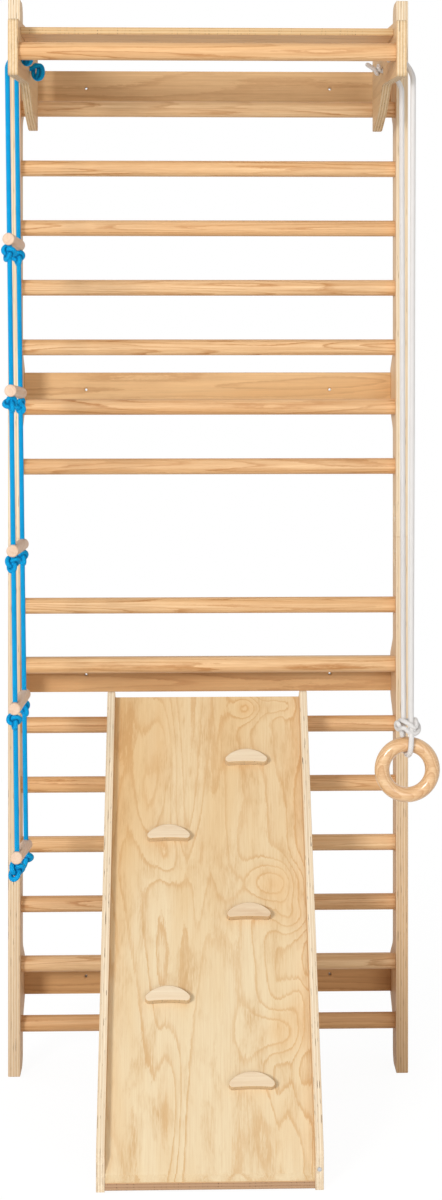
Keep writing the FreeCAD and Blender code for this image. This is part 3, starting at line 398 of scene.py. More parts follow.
def makeRope(name, looks):
    material, tree, shader = newMaterial(name)
    weave = addNode(tree, "ShaderNodeUVMap", uv_map="ropeWeave").outputs[0]
    parts = addNode(tree, "ShaderNodeSeparateXYZ", {0: weave}).outputs
    braid = useGroup(tree, braidGroup, Around=parts["X"], Along=parts["Y"],
                     Strands=looks["strands"], Lay=looks["lay"])
    fuzz = noise(tree, objectPlace(tree), 1800.0, 2.0)
    patches = noise(tree, objectPlace(tree), 60.0, 2.0)
    base = mixColour(tree, times(tree, braid["Strand"], 0.35), looks["bright"], looks["deep"])
    base = mixColour(tree, times(tree, spread(tree, patches, 0.3, 0.7), 0.4), base, looks["deep"])
    # painted shade in the gaps between braid strands
    base = mixColour(tree, times(tree, braid["Gap"], looks["lines"]), base, looks["gap"])
    # painted shade where a knot's strands lie against each other
    base = mixColour(tree, times(tree, attributeValue(tree, "pressed"), 0.8), base, looks["gap"])
    wire(tree, shader.inputs["Base Color"], base)
    rough = spread(tree, fuzz, 0.2, 0.8, looks["rough"] - 0.1, looks["rough"] + 0.1)
    wire(tree, shader.inputs["Roughness"], rough)
    shader.inputs["Specular IOR Level"].default_value = looks["shine"]
    addBump(tree, shader, plus(tree, braid["Height"], times(tree, fuzz, 0.15)), braidDepth)
    return material


def makeSteel(name):
    material, tree, shader = newMaterial(name)
    brushed = noise(tree, scaled(tree, objectPlace(tree), (300.0, 2500.0, 2500.0)), 1.0, 3.0)
    spangle = noise(tree, objectPlace(tree), 260.0, 2.0)
    dull, bright = colour(0.52, 0.53, 0.55), colour(0.66, 0.66, 0.66)
    wire(tree, shader.inputs["Base Color"], mixColour(tree, spread(tree, spangle, 0.3, 0.7), dull, bright))
    wire(tree, shader.inputs["Roughness"], spread(tree, brushed, 0.2, 0.8, 0.24, 0.42))
    shader.inputs["Metallic"].default_value = 1.0
    addBump(tree, shader, brushed, brushedDepth)
    return material


rightAngle = math.radians(90)
slope = math.atan2(711.0, 529.0)  # the ramp's rise over its run
straight = (0.0, 0.0, 0.0)
alongUpright = (0.0, rightAngle, 0.0)
alongSlope = (-slope, 0.0, -rightAngle)
alongDepth = (0.0, 0.0, -rightAngle)
offSlope = (0.0, -math.sin(slope), math.cos(slope))

faceSwirls = [
    # along the slope, across it, length, width, rise of each knot's hill, from the photograph's figure
    (0.494, -0.105, 0.046, 0.060, 0.26), (0.430, -0.145, 0.035, 0.045, 0.14),
    (0.216, -0.112, 0.046, 0.055, 0.22), (0.275, -0.150, 0.040, 0.036, 0.12),
    (0.857, -0.062, 0.030, 0.026, 0.20), (0.862, -0.118, 0.022, 0.030, 0.15),
    (0.547, 0.100, 0.045, 0.032, 0.10), (0.780, 0.105, 0.150, 0.030, 0.14),
    (0.640, 0.135, 0.110, 0.026, 0.10), (0.100, 0.095, 0.150, 0.030, 0.13),
    (0.030, -0.105, 0.140, 0.055, 0.14),
]
faceFoot = -0.3445 * math.cos(slope) + 0.065 * math.sin(slope)  # the turned X where the face begins
faceFigure = makeSwirlGroup("faceFigure", 1.1, [(faceFoot + along, *rest) for along, *rest in faceSwirls])
woodLooks = {"turn": straight, "wander": 0.25, "ragged": 0.3, "crisp": 0.65, "waver": 1.0, "coat": 0.0}
pineLooks = {
    **woodLooks, "stretch": 0.038, "size": 0.040, "rings": 14.0, "fibre": 0.36, "contrast": 0.9,
    "streak": 0.55, "crisp": 0.75, "ragged": 0.35, "gloss": 0.45,
    "pale": colour(0.96, 0.68, 0.39), "warm": colour(0.88, 0.55, 0.27), "deep": colour(0.62, 0.33, 0.13),
    "ring": colour(0.50, 0.22, 0.065), "shade": colour(0.74, 0.52, 0.34),
}
plyLooks = {
    **woodLooks, "turn": alongUpright, "stretch": 0.08, "size": 0.09, "rings": 12.0, "fibre": 0.16,
    "contrast": 0.45, "streak": 0.25, "gloss": 0.4, "stack": (1.0, 0.0, 0.0), "ply": 0.00267, "lines": 0.5,
    "pale": colour(0.84, 0.58, 0.32), "warm": colour(0.77, 0.50, 0.25), "deep": colour(0.58, 0.36, 0.17),
    "ring": colour(0.50, 0.26, 0.10), "shade": colour(0.74, 0.54, 0.36),
    "edgePale": colour(0.88, 0.70, 0.46), "edgeCore": colour(0.74, 0.51, 0.27),
    "edgeLine": colour(0.42, 0.24, 0.10), "void": colour(0.16, 0.08, 0.035),
}
ropeLooks = {
    "strands": 6.0, "lay": 2.0, "rough": 0.55, "lines": 0.9, "shine": 0.12,
    # the gap colour is painted shade, for the braid's gaps and a knot's creases
    "bright": colour(0.003, 0.47, 0.92), "deep": colour(0.002, 0.31, 0.70), "gap": colour(0.0, 0.07, 0.26),
}
plywoods = {
    "post": dict(
        pale=colour(0.92, 0.70, 0.45), warm=colour(0.86, 0.61, 0.37),
        edgePale=colour(0.96, 0.83, 0.63), edgeCore=colour(0.84, 0.65, 0.42)),
    "board": dict(
        turn=straight, stack=(0.0, 1.0, 0.0), ply=0.00257,
        rings=13.0, contrast=0.6, streak=0.4, ragged=0.4, patch=0.3,
        pale=colour(0.86, 0.61, 0.33), warm=colour(0.77, 0.47, 0.21)),
    "canopy": dict(turn=alongDepth, ply=0.00257),
    "shelf": dict(
        turn=straight, stack=(0.0, 0.0, 1.0), ply=0.0026,
        pale=colour(0.95, 0.62, 0.33), warm=colour(0.88, 0.54, 0.27),
        edgePale=colour(0.80, 0.58, 0.31), edgeCore=colour(0.70, 0.45, 0.21)),
    "foot": dict(
        # the foot rail's dark edge colours are painted shade under the ramp's lower end
        turn=straight, stack=(0.0, 0.0, 1.0), ply=0.0026,
        edgePale=colour(0.52, 0.33, 0.20), edgeCore=colour(0.42, 0.24, 0.14)),
    "rail": dict(
        turn=alongSlope, ply=0.0025, edgePale=colour(0.95, 0.82, 0.62), edgeCore=colour(0.86, 0.70, 0.49)),
    "face": dict(
        turn=alongSlope, stack=offSlope, ply=0.0024, stretch=0.2, size=0.12, rings=17.0, waver=0.62,
        contrast=0.72, fibre=0.24, streak=0.12, wander=0.5, patch=0.9, ragged=0.42, crisp=0.8,
        figure=faceFigure, knot=colour(0.80, 0.46, 0.18),
        head=colour(0.975, 0.905, 0.82), headSpan=(faceFoot + 0.35, faceFoot + 0.85),
        pale=colour(0.81, 0.665, 0.435), warm=colour(0.76, 0.555, 0.30),
        deep=colour(0.62, 0.40, 0.19), ring=colour(0.60, 0.34, 0.13)),
    "hold": dict(
        turn=straight, stack=offSlope, ply=0.003, size=0.05, rings=6.0, contrast=0.22, streak=0.15,
        pale=colour(0.84, 0.71, 0.52), warm=colour(0.80, 0.64, 0.44), edgePale=colour(0.84, 0.69, 0.47)),
}
materials = {
    "pine": makeTurnedWood("turnedPine", pineLooks),
    "ladderPine": makeTurnedWood("ladderPine", dict(
        pineLooks, turn=alongDepth, size=0.03, rings=7.0, contrast=0.3, streak=0.2,
        pale=colour(0.82, 0.64, 0.50), warm=colour(0.78, 0.58, 0.44))),
    "beech": makeTurnedWood("ringBeech", dict(
        pineLooks, size=0.05, rings=8.0, stretch=0.5, contrast=0.75, streak=0.45, ragged=0.2,
        layers=(6.0, 28.0, 3.0), waver=0.45, crisp=0.4, gloss=0.95, coat=0.7,
        pale=colour(0.90, 0.64, 0.37), warm=colour(0.84, 0.53, 0.27), ring=colour(0.52, 0.24, 0.08))),
    **{key: makePlywood(key + "Plywood", {**plyLooks, **looks}) for key, looks in plywoods.items()},
    "blue": makeRope("blueRope", ropeLooks),
    "white": makeRope("whiteRope", dict(
        ropeLooks, lay=2.4, lines=0.5,
        # the white rope's gap colour is its painted shade between strands
        bright=colour(0.96, 0.93, 0.90), deep=colour(0.89, 0.85, 0.82), gap=colour(0.57, 0.53, 0.50))),
    "steel": makeSteel("zincSteel"),
}
print("materials made:", len(materials))


def addObject(name, mesh):
    piece = bpy.data.objects.new(name, mesh)
    scene.collection.objects.link(piece)
    return piece


def smoothObject(name, shape):
    mesh = bpy.data.meshes.new(name)
    shape.to_mesh(mesh)
    shape.free()
    mesh.shade_smooth()
    return addObject(name, mesh)


def takeResult(piece):
    # turns what the modifiers give into the piece's own plain mesh
    bpy.context.view_layer.update()
    graph = bpy.context.evaluated_depsgraph_get()
    shown = piece.evaluated_get(graph)
    mesh = bpy.data.meshes.new_from_object(shown, preserve_all_data_layers=True, depsgraph=graph)
    piece.modifiers.clear()
    piece.data = mesh
    mesh.name = piece.name
    return piece


def register(piece, body, material, replaced):
    piece.data.materials.clear()
    piece.data.materials.append(materials[material])
    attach(piece, body)
    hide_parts(*replaced)
    return piece


def setValues(mesh, label, values):
    mesh.attributes.new(label, "FLOAT", "POINT").data.foreach_set("value", values)


# what counts as one point, a sliver and flat in the CAD meshes, and which edges are shaded sharp
cleaning = {"weld": 0.000004, "sliver": 0.000002, "flat": math.radians(0.4)}
sharpAngle = math.radians(50)


def easeEdges(name, node, width, segments=2, angle=35):
    # the CAD piece's own form with its sharp edges rounded over, as a sanded one has them
    mesh = nodes[node].data.copy()
    shape = bmesh.new()
    shape.from_mesh(mesh)
    bmesh.ops.remove_doubles(shape, verts=shape.verts, dist=cleaning["weld"])
    bmesh.ops.dissolve_degenerate(shape, edges=shape.edges, dist=cleaning["sliver"])
    bmesh.ops.dissolve_limit(shape, angle_limit=cleaning["flat"], verts=shape.verts, edges=shape.edges)
    shape.to_mesh(mesh)
    shape.free()
    piece = addObject(name, mesh)
    bevel = piece.modifiers.new("easedEdges", "BEVEL")
    bevel.width = width
    bevel.segments = segments
    bevel.limit_method = "ANGLE"
    bevel.angle_limit = math.radians(angle)
    bevel.use_clamp_overlap = False
    bevel.miter_outer = "MITER_ARC"
    weighted = piece.modifiers.new("flatFaces", "WEIGHTED_NORMAL")
    weighted.keep_sharp = True
    mesh.shade_smooth()
    mesh.set_sharp_from_angle(angle=sharpAngle)
    return takeResult(piece)


woodPieces = {
    # node: (piece, body, slot, material, rounding, how dark it is made: darker timber, and on some boards
    # painted shade)
    "left_post_lower": ("leftPostLower", "frame", "post_plywood", "post", 0.0014, 0.0),
    "left_post_upper": ("leftPostUpper", "frame", "post_plywood", "post", 0.0014, 0.0),
    "right_post_lower": ("rightPostLower", "frame", "post_plywood", "post", 0.0014, 0.0),
    "right_post_upper": ("rightPostUpper", "frame", "post_plywood", "post", 0.0014, 0.0),
    # the low and lower-middle boards' darkness is painted shadow and shade from the ramp, and the high
    # board's is painted shade under the canopy
    "wall_board_1": ("wallBoardLow", "frame", "board_plywood", "board", 0.0008, 0.65),
    "wall_board_2": ("wallBoardLowerMiddle", "frame", "board_plywood", "board", 0.0008, 0.55),
    "wall_board_3": ("wallBoardUpperMiddle", "frame", "board_plywood", "board", 0.0008, 0.0),
    "wall_board_4": ("wallBoardHigh", "frame", "board_plywood", "board", 0.0008, 0.25),
    "left_canopy_panel": ("canopyPanelLeft", "frame", "canopy_plywood", "canopy", 0.0014, 0.05),
    "right_canopy_panel": ("canopyPanelRight", "frame", "canopy_plywood", "canopy", 0.0014, 0.0),
    "canopy_shelf": ("canopyShelf", "frame", "canopy_plywood", "shelf", 0.0012, 0.0),
    "left_ramp_rail": ("rampRailLeft", "ramp", "rail_plywood", "rail", 0.0012, 0.0),
    "right_ramp_rail": ("rampRailRight", "ramp", "rail_plywood", "rail", 0.0012, 0.0),
    "ramp_face": ("rampFace", "ramp", "face_plywood", "face", 0.0006, 0.0),
    "ramp_head_batten": ("rampHeadBatten", "ramp", "rail_plywood", "shelf", 0.001, 0.0),
    "ramp_foot_rail": ("rampFootRail", "ramp", "rail_plywood", "foot", 0.001, 0.0),
}
# how dark the lower posts are made at the floor and at the joint over them, darker towards the floor: partly
# darker timber, partly painted shade from the ramp
postToneAndShade = {"left_post_lower": (0.3, 0.1), "right_post_lower": (0.78, 0.1)}
postJoint = 1.075  # height in metres
for node, (name, body, slot, material, width, tone) in woodPieces.items():
    piece = easeEdges(name, node, width)
    low, high = postToneAndShade.get(node, (tone, tone))
    tones = [low + (high - low) * vertex.co.z / postJoint for vertex in piece.data.vertices]
    setValues(piece.data, "timberTone", tones)
    register(piece, body, material, [node])
print("plywood pieces made:", len(woodPieces))


# rungs and bar: one tree turns rows of points into turned rods with eased ends
rungs = {
    "heights": [0.095 + 0.12 * step for step in range(8)] + [1.215 + 0.12 * step for step in range(8)],
    "middle": (-0.01375, 0.2525),
    "length": 0.7798,
    "radius": 0.016,
    "ease": 0.0012,
    "sides": 48,
    "seed": 3,
    # how dark each rung's timber is, from the lowest up
    "tones": [0.3, 0.1, 0.25, 0.0, 0.1, 0.2, 0.0, 0.05, 0.25, 0.2, 0.05, 0.1, 0.1, 0.0, 0.0, 0.4],
}


def treeFor(name, inputs):
    tree = bpy.data.node_groups.new(name, "GeometryNodeTree")
    for label, kind in [("Geometry", "Geometry"), *inputs]:
        tree.interface.new_socket(label, in_out="INPUT", socket_type="NodeSocket" + kind)
    tree.interface.new_socket("Geometry", in_out="OUTPUT", socket_type="NodeSocketGeometry")
    return tree, tree.nodes.new("NodeGroupInput").outputs, tree.nodes.new("NodeGroupOutput").inputs


def runTree(piece, tree, **settings):
    modifier = piece.modifiers.new(tree.name, "NODES")
    modifier.node_group = tree
    for item in tree.interface.items_tree:
        if item.in_out == "INPUT" and item.name in settings:
            modifier[item.identifier] = settings[item.name]
    return takeResult(piece)


def makeRodTree():
    tree, given, result = treeFor("turnedRods", [
        ("Radius", "Float"), ("Length", "Float"), ("Ease", "Float"), ("Sides", "Int"), ("Seed", "Int"),
        ("Finish", "Material")])
    half = times(tree, given["Length"], 0.5)
    outline = {"Resolution": given["Sides"], "Radius": given["Radius"]}
    circle = addNode(tree, "GeometryNodeCurvePrimitiveCircle", outline)
    # the rod's profile has three points at either end: the shrunken rim, then two of the full width
    line = addNode(tree, "GeometryNodeMeshLine", {"Count": 6, "Offset": (1.0, 0.0, 0.0)}, mode="OFFSET")
    index = addNode(tree, "GeometryNodeInputIndex").outputs[0]
    side = spread(tree, index, 2.4, 2.6, -1.0, 1.0)
    fromMiddle = maths(tree, "ABSOLUTE", minus(tree, index, 2.5))
    isEnd = maths(tree, "GREATER_THAN", fromMiddle, 2.0)
    isNear = maths(tree, "GREATER_THAN", fromMiddle, 1.0)
    fromEnd = minus(tree, 1.3, plus(tree, times(tree, isNear, 0.3), isEnd))
    reach = minus(tree, half, times(tree, given["Ease"], fromEnd))
    place = addNode(tree, "ShaderNodeCombineXYZ", {"X": times(tree, side, reach)}).outputs[0]
    moved = addNode(tree, "GeometryNodeSetPosition", {"Geometry": line.outputs[0], "Position": place})
    spine = addNode(tree, "GeometryNodeMeshToCurve", {0: moved.outputs[0]}).outputs[0]
    thin = minus(tree, 1.0, times(tree, isEnd, maths(tree, "DIVIDE", given["Ease"], given["Radius"])))
    sized = addNode(tree, "GeometryNodeSetCurveRadius", {"Curve": spine, "Radius": thin}).outputs[0]
    rod = addNode(tree, "GeometryNodeCurveToMesh", {0: sized, 1: circle.outputs[0], "Fill Caps": True})
    spin = addNode(tree, "FunctionNodeRandomValue", {"Seed": given["Seed"]}, data_type="FLOAT")
    spin.inputs[3].default_value = 6.28  # any turn about the rod's own axis
    turn = addNode(tree, "ShaderNodeCombineXYZ", {"X": spin.outputs[1]}).outputs[0]
    rows = addNode(tree, "GeometryNodeInstanceOnPoints", {
        "Points": given["Geometry"], "Instance": rod.outputs[0], "Rotation": turn})
    real = addNode(tree, "GeometryNodeRealizeInstances", {0: rows.outputs[0]})
    smooth = addNode(tree, "GeometryNodeSetShadeSmooth", {0: real.outputs[0]})
    finish = {"Geometry": smooth.outputs[0], "Material": given["Finish"]}
    done = addNode(tree, "GeometryNodeSetMaterial", finish)
    wire(tree, result["Geometry"], done.outputs[0])
    return tree


def pointsObject(name, places):
    mesh = bpy.data.meshes.new(name)
    mesh.from_pydata(places, [], [])
    return addObject(name, mesh)


def turnRods(name, rods, replaced):
    row = pointsObject(name, [(*rods["middle"], height) for height in rods["heights"]])
    setValues(row.data, "timberTone", rods["tones"])
    settings = {label: rods[label.lower()] for label in ("Radius", "Length", "Ease", "Sides", "Seed")}
    runTree(row, rodTree, Finish=materials["pine"], **settings)
    row.data.shade_smooth()
    row.data.set_sharp_from_angle(angle=sharpAngle)
    return register(row, "frame", "pine", replaced)


rodTree = makeRodTree()
turnRods("rungRow", rungs, ["rung_%02d" % number for number in range(1, 17)])

pullUpBar = dict(rungs, middle=(-0.01975, -0.2345), heights=[1.989], length=0.6898, tones=[0.15], seed=11)
turnRods("pullUpBar", pullUpBar, ["pull_up_bar"])
print("rungs and bar made")


# climbing holds and ladder rungs keep their CAD form with softer edges: rounding, segments, angle
holdEdges, ladderEdges = (0.0012, 3, 30), (0.0008, 2, 30)
holdTones = [0.0, 0.05, 0.3, 0.0, 0.05]
for number, tone in enumerate(holdTones, 1):
    hold = easeEdges("climbingHold%d" % number, "climbing_hold_%d" % number, *holdEdges)
    setValues(hold.data, "timberTone", [tone] * len(hold.data.vertices))
    register(hold, "ramp", "hold", ["climbing_hold_%d" % number])
    step = easeEdges("ladderRung%d" % number, "ladder_rung_%d" % number, *ladderEdges)
    register(step, "rope_ladder", "ladderPine", ["ladder_rung_%d" % number])

# the ring is turned anew so that it is round from any side
gymRing = {"middle": (0.35275, -0.086, 0.674), "radius": 0.047, "tube": 0.014, "steps": 128, "sides": 40}


def turnedRing(name, size):
    shape = bmesh.new()
    loops = []
    x, y, z = size["middle"]
    for step in range(size["steps"]):
        angle = 2 * math.pi * step / size["steps"]
        loop = []
        for side in range(size["sides"]):
            around = 2 * math.pi * side / size["sides"]
            out, deep = size["radius"] + size["tube"] * math.cos(around), size["tube"] * math.sin(around)
            loop.append(shape.verts.new((x + out * math.cos(angle), y + deep, z + out * math.sin(angle))))
        loops.append(loop)
    for step, loop in enumerate(loops):
        following = loops[(step + 1) % len(loops)]
        for side in range(size["sides"]):
            beside = (side + 1) % size["sides"]
            shape.faces.new((loop[side], loop[beside], following[beside], following[side]))
    bmesh.ops.recalc_face_normals(shape, faces=shape.faces)
    return smoothObject(name, shape)


register(turnedRing("gymRing", gymRing), "ring", "beech", ["gym_ring"])
print("holds, ladder rungs and ring made")


# ropes: a smooth line through the route, then a round braided tube along it
def smoothLine(points, resolution=24):
    curve = bpy.data.curves.new("routeLine", "CURVE")
    curve.dimensions = "3D"
    spline = curve.splines.new("NURBS")
    spline.points.add(len(points) - 1)
    for point, place in zip(spline.points, points):
        point.co = (*place, 1.0)
    spline.order_u = 3
    spline.use_endpoint_u = True
    spline.resolution_u = resolution
    holder = addObject("routeLine", curve)
    bpy.context.view_layer.update()
    mesh = bpy.data.meshes.new_from_object(holder.evaluated_get(bpy.context.evaluated_depsgraph_get()))
    line = [vertex.co.copy() for vertex in mesh.vertices]
    bpy.data.objects.remove(holder)
    bpy.data.meshes.remove(mesh)
    return line


def evenSteps(line, step):
    spots, left = [line[0]], step
    for start, end in zip(line, line[1:]):
        length = (end - start).length
        travelled = 0.0
        while length - travelled >= left:
            travelled += left
            spots.append(start.lerp(end, travelled / length))
            left = step
        left -= length - travelled
    if (spots[-1] - line[-1]).length > step * 0.3:
        spots.append(line[-1])
    else:
        spots[-1] = line[-1]
    return spots


domeAngles = (0.15, 0.6, 1.05)  # the loops of a rope's rounded end, in radians from its tip


def braidedTube(name, line, diameter, step=0.003, sides=16, closed=False):
    # a tube whose UV runs once round the rope and counts rope diameters along it
    spots = evenSteps(line, step)
    if closed:
        spots = spots[:-1]
    total = len(spots)
    shape = bmesh.new()
    layer = shape.loops.layers.uv.new("ropeWeave")
    radius = diameter / 2
    across = (spots[1] - spots[0]).normalized().orthogonal().normalized()
    rings, walked = [], 0.0
    for index, spot in enumerate(spots):
        before = spots[index - 1] if index or closed else spot
        after = spots[(index + 1) % total] if index < total - 1 or closed else spot
        towards = (after - before).normalized()
        across = (across - towards * across.dot(towards)).normalized()
        other = towards.cross(across)
        if index:
            walked += (spot - spots[index - 1]).length
        places = [(0.0, radius)]
        if index == 0 and not closed:
            places = [(-math.cos(a) * radius, math.sin(a) * radius) for a in domeAngles] + places
        if index == total - 1 and not closed:
            places += [(math.cos(a) * radius, math.sin(a) * radius) for a in reversed(domeAngles)]
        for shift, wide in places:
            middle = spot + towards * shift
            ring = [shape.verts.new(middle + (across * math.cos(angle) + other * math.sin(angle)) * wide)
                    for angle in (2 * math.pi * side / sides for side in range(sides))]
            rings.append((ring, (walked + shift) / diameter))
    pairs = list(zip(rings, rings[1:]))
    if closed:
        pairs.append((rings[-1], (rings[0][0], rings[-1][1] + (spots[0] - spots[-1]).length / diameter)))
    for (ring, along), (following, further) in pairs:
        for side in range(sides):
            beside = (side + 1) % sides
            face = shape.faces.new((ring[side], ring[beside], following[beside], following[side]))
            corners = ((side, along), (side + 1, along), (side + 1, further), (side, further))
            for loop, (u, v) in zip(face.loops, corners):
                loop[layer].uv = (u / sides, v)
    if not closed:
        shape.faces.new(list(reversed(rings[0][0])))
        shape.faces.new(rings[-1][0])
    bmesh.ops.recalc_face_normals(shape, faces=shape.faces)
    return smoothObject(name, shape), spots


holeHeight = 1.985  # of the rope holes in the canopy
holeDepths = {"Front": -0.1885, "Back": 0.0165}
knotTube = {"step": 0.0016, "sides": 14}
ladder = {
    "diameter": 0.009,
    "middle": -0.086,  # depth of the rungs' middle
    "drops": (0.331, 0.608, 0.896, 1.181, 1.458),
    "tilts": (0.7, 3.0, 3.1, 3.9, 8.3),
    # the ropes go straight down from here, leaning inwards by this much per metre
    "hang": (-0.38075, 1.973),
    "lean": 0.0124,
    "under": 0.0260,  # from a rung's middle to the knot below it
    "knotShift": (-0.002, 0.0025),
    "knotShape": (0.0112, 0.0048, 0.0140),
    "knotCord": 0.0084,
    "knotSizes": [(1.0, 1.0, 1.0)] * 4 + [(1.08, 1.3, 1.15)],
    "knotSeeds": {"Front": 4, "Back": 9},
    "lastKnot": 0.012,  # how far below its middle the rope ends
}
ringCord = 0.010
ropeRoutes = {
    "ladderRopeFront": [(-0.36875, -0.1885, 1.985), (-0.38075, -0.1885, 1.973), (-0.3805, -0.1885, 1.953),
                        (-0.36236, -0.1885, 0.4893)],
    "ladderRopeBack": [(-0.36875, 0.0165, 1.985), (-0.38075, 0.0165, 1.973), (-0.3805, 0.0165, 1.953),
                       (-0.36198, 0.0165, 0.4594)],
    "ringRope": [(0.32925, -0.1885, 1.985), (0.35275, -0.1885, 1.9615), (0.35293, -0.1858, 1.9286),
                 (0.35910, -0.0933, 0.7919), (0.35925, -0.091, 0.764), (0.35925, -0.1055, 0.7405),
                 (0.356, -0.1055, 0.7015), (0.3495, -0.0665, 0.7015), (0.34625, -0.0665, 0.7405),
                 (0.34625, -0.081, 0.764), (0.34640, -0.0787, 0.7919), (0.35257, 0.0138, 1.9286),
                 (0.35275, 0.0165, 1.9615), (0.32925, 0.0165, 1.985)],
}


def knotLine(wide, deep, tall, steps=90):
    # an overhand knot drawn tight: two lobes above, one below, each strand over one and under the next
    spots = []
    for step in range(steps + 1):
        turn = 2 * math.pi * step / steps
        spots.append(Vector((wide / 3 * (math.sin(turn) + 2 * math.sin(2 * turn)), deep * math.sin(3 * turn),
                             tall / 3 * (math.cos(turn) - 2 * math.cos(2 * turn)))))
    return spots


def paintCreaseShade(piece, diameter):
    # where a knot's strand lies close to another part of itself, for the painted shade in the creases between
    # strands
    sides = knotTube["sides"]
    spots = piece.data.vertices
    finder = KDTree(len(spots))
    for spot in spots:
        finder.insert(spot.co, spot.index)
    finder.balance()
    rings, apart, reach = len(spots) // sides, round(1.3 * diameter / knotTube["step"]), 0.42 * diameter
    pressed = []
    for spot in spots:
        station = spot.index // sides
        nearest = reach
        for _, other, distance in finder.find_range(spot.co, reach):
            gap = abs(other // sides - station)
            if min(gap, rings - gap) > apart:
                nearest = min(nearest, distance)
        pressed.append(1.0 - nearest / reach)
    setValues(piece.data, "pressed", pressed)


def makeKnotTree():
    tree, given, result = treeFor("tiedKnots", [("Knot", "Object"), ("Seed", "Int"), ("Finish", "Material")])
    source = addNode(tree, "GeometryNodeObjectInfo", {"Object": given["Knot"]}, transform_space="ORIGINAL")
    spin = addNode(tree, "FunctionNodeRandomValue", {"Seed": given["Seed"]}, data_type="FLOAT_VECTOR")
    spin.inputs[0].default_value = (-0.15, -0.5, -0.5)
    spin.inputs[1].default_value = (0.15, 0.5, 0.5)  # each knot sits a little differently
    size = addNode(tree, "GeometryNodeInputNamedAttribute", {"Name": "knotSize"}, data_type="FLOAT_VECTOR")
    rows = addNode(tree, "GeometryNodeInstanceOnPoints", {
        "Points": given["Geometry"], "Instance": source.outputs["Geometry"],
        "Rotation": spin.outputs[0], "Scale": size.outputs[0]})
    real = addNode(tree, "GeometryNodeRealizeInstances", {0: rows.outputs[0]})
    finish = {"Geometry": real.outputs[0], "Material": given["Finish"]}
    done = addNode(tree, "GeometryNodeSetMaterial", finish)
    wire(tree, result["Geometry"], done.outputs[0])
    return tree


knotTree = makeKnotTree()


def tieKnots(name, places, seed):
    loop = knotLine(*ladder["knotShape"])
    pattern, _ = braidedTube(name + "Pattern", loop, ladder["knotCord"], closed=True, **knotTube)
    paintCreaseShade(pattern, ladder["knotCord"])
    row = pointsObject(name, places)
    sizes = row.data.attributes.new("knotSize", "FLOAT_VECTOR", "POINT")
    sizes.data.foreach_set("vector", [part for size in ladder["knotSizes"] for part in size])
    runTree(row, knotTree, Knot=pattern, Seed=seed, Finish=materials["blue"])
    bpy.data.objects.remove(pattern)
    row.data.shade_smooth()
    return row


for side, depth in holeDepths.items():
    places = []
    hangSide, hangHeight = ladder["hang"]
    knotSide, knotRise = ladder["knotShift"]
    for drop, tilt in zip(ladder["drops"], map(math.radians, ladder["tilts"])):
        reach = ladder["middle"] - depth  # how far in front of the rung's middle the rope is
        height = holeHeight - drop + reach * math.tan(tilt) - ladder["under"] / math.cos(tilt)
        hung = hangSide + ladder["lean"] * (hangHeight - height)
        places.append((hung + knotSide, depth, height + knotRise))
    name = "ladderRope" + side
    knots = tieKnots("ladderKnots" + side, places, ladder["knotSeeds"][side])
    register(knots, "rope_ladder", "blue", ["ladder_knots_" + side.lower()])
    knotEnd = places[-1][2] - ladder["lastKnot"]
    route = [spot for spot in smoothLine(ropeRoutes[name], resolution=240) if spot.z > knotEnd]
    rope, line = braidedTube(name, route, ladder["diameter"])
    register(rope, "rope_ladder", "blue", ["ladder_rope_" + side.lower()])

rope, line = braidedTube("ringRope", smoothLine(ropeRoutes["ringRope"]), ringCord)
register(rope, "ring_line", "white", ["ring_rope"])
# the wrap round both runs of the rope: from the short end over the left lobe, across the front, round behind
ringWrap = {
    "middle": (0.35275, -0.086, 0.7545),
    "diameter": 0.0088,
    "points": [
        (-0.0105, -0.0090, -0.0150), (-0.0115, -0.0120, -0.0060), (-0.0170, -0.0110, 0.0060),
        (-0.0205, -0.0020, 0.0080), (-0.0205, 0.0030, -0.0020), (-0.0180, -0.0100, -0.0050),
        (-0.0080, -0.0170, 0.0010), (0.0010, -0.0180, -0.0080), (0.0100, -0.0160, -0.0125),
        (0.0200, -0.0110, -0.0080), (0.0215, 0.0020, 0.0000), (0.0170, 0.0140, 0.0060),
        (0.0000, 0.0160, 0.0080), (-0.0120, 0.0120, 0.0040), (-0.0140, 0.0020, 0.0110),
        (-0.0060, -0.0120, 0.0115), (0.0060, -0.0170, 0.0040), (0.0130, -0.0150, -0.0020),
        (0.0170, -0.0110, 0.0070), (0.0150, 0.0000, 0.0120),
    ],
}


def boundTube(name, body, node, finish, diameter, runs):
    # one piece from several short runs of cord, each given by its control points
    join = bmesh.new()
    tubes = []
    for run in runs:
        tube, _ = braidedTube(name + "Run", smoothLine(run, resolution=12), diameter, **knotTube)
        tubes.append(tube)
        join.from_mesh(tube.data)
    for tube in tubes:
        bpy.data.objects.remove(tube)
    piece = smoothObject(name, join)
    paintCreaseShade(piece, diameter)
    return register(piece, body, finish, [node])


ringKnot = boundTube("ringKnot", "ring_line", "ring_knot", "white", ringWrap["diameter"],
                     [[Vector(ringWrap["middle"]) + Vector(point) for point in ringWrap["points"]]])

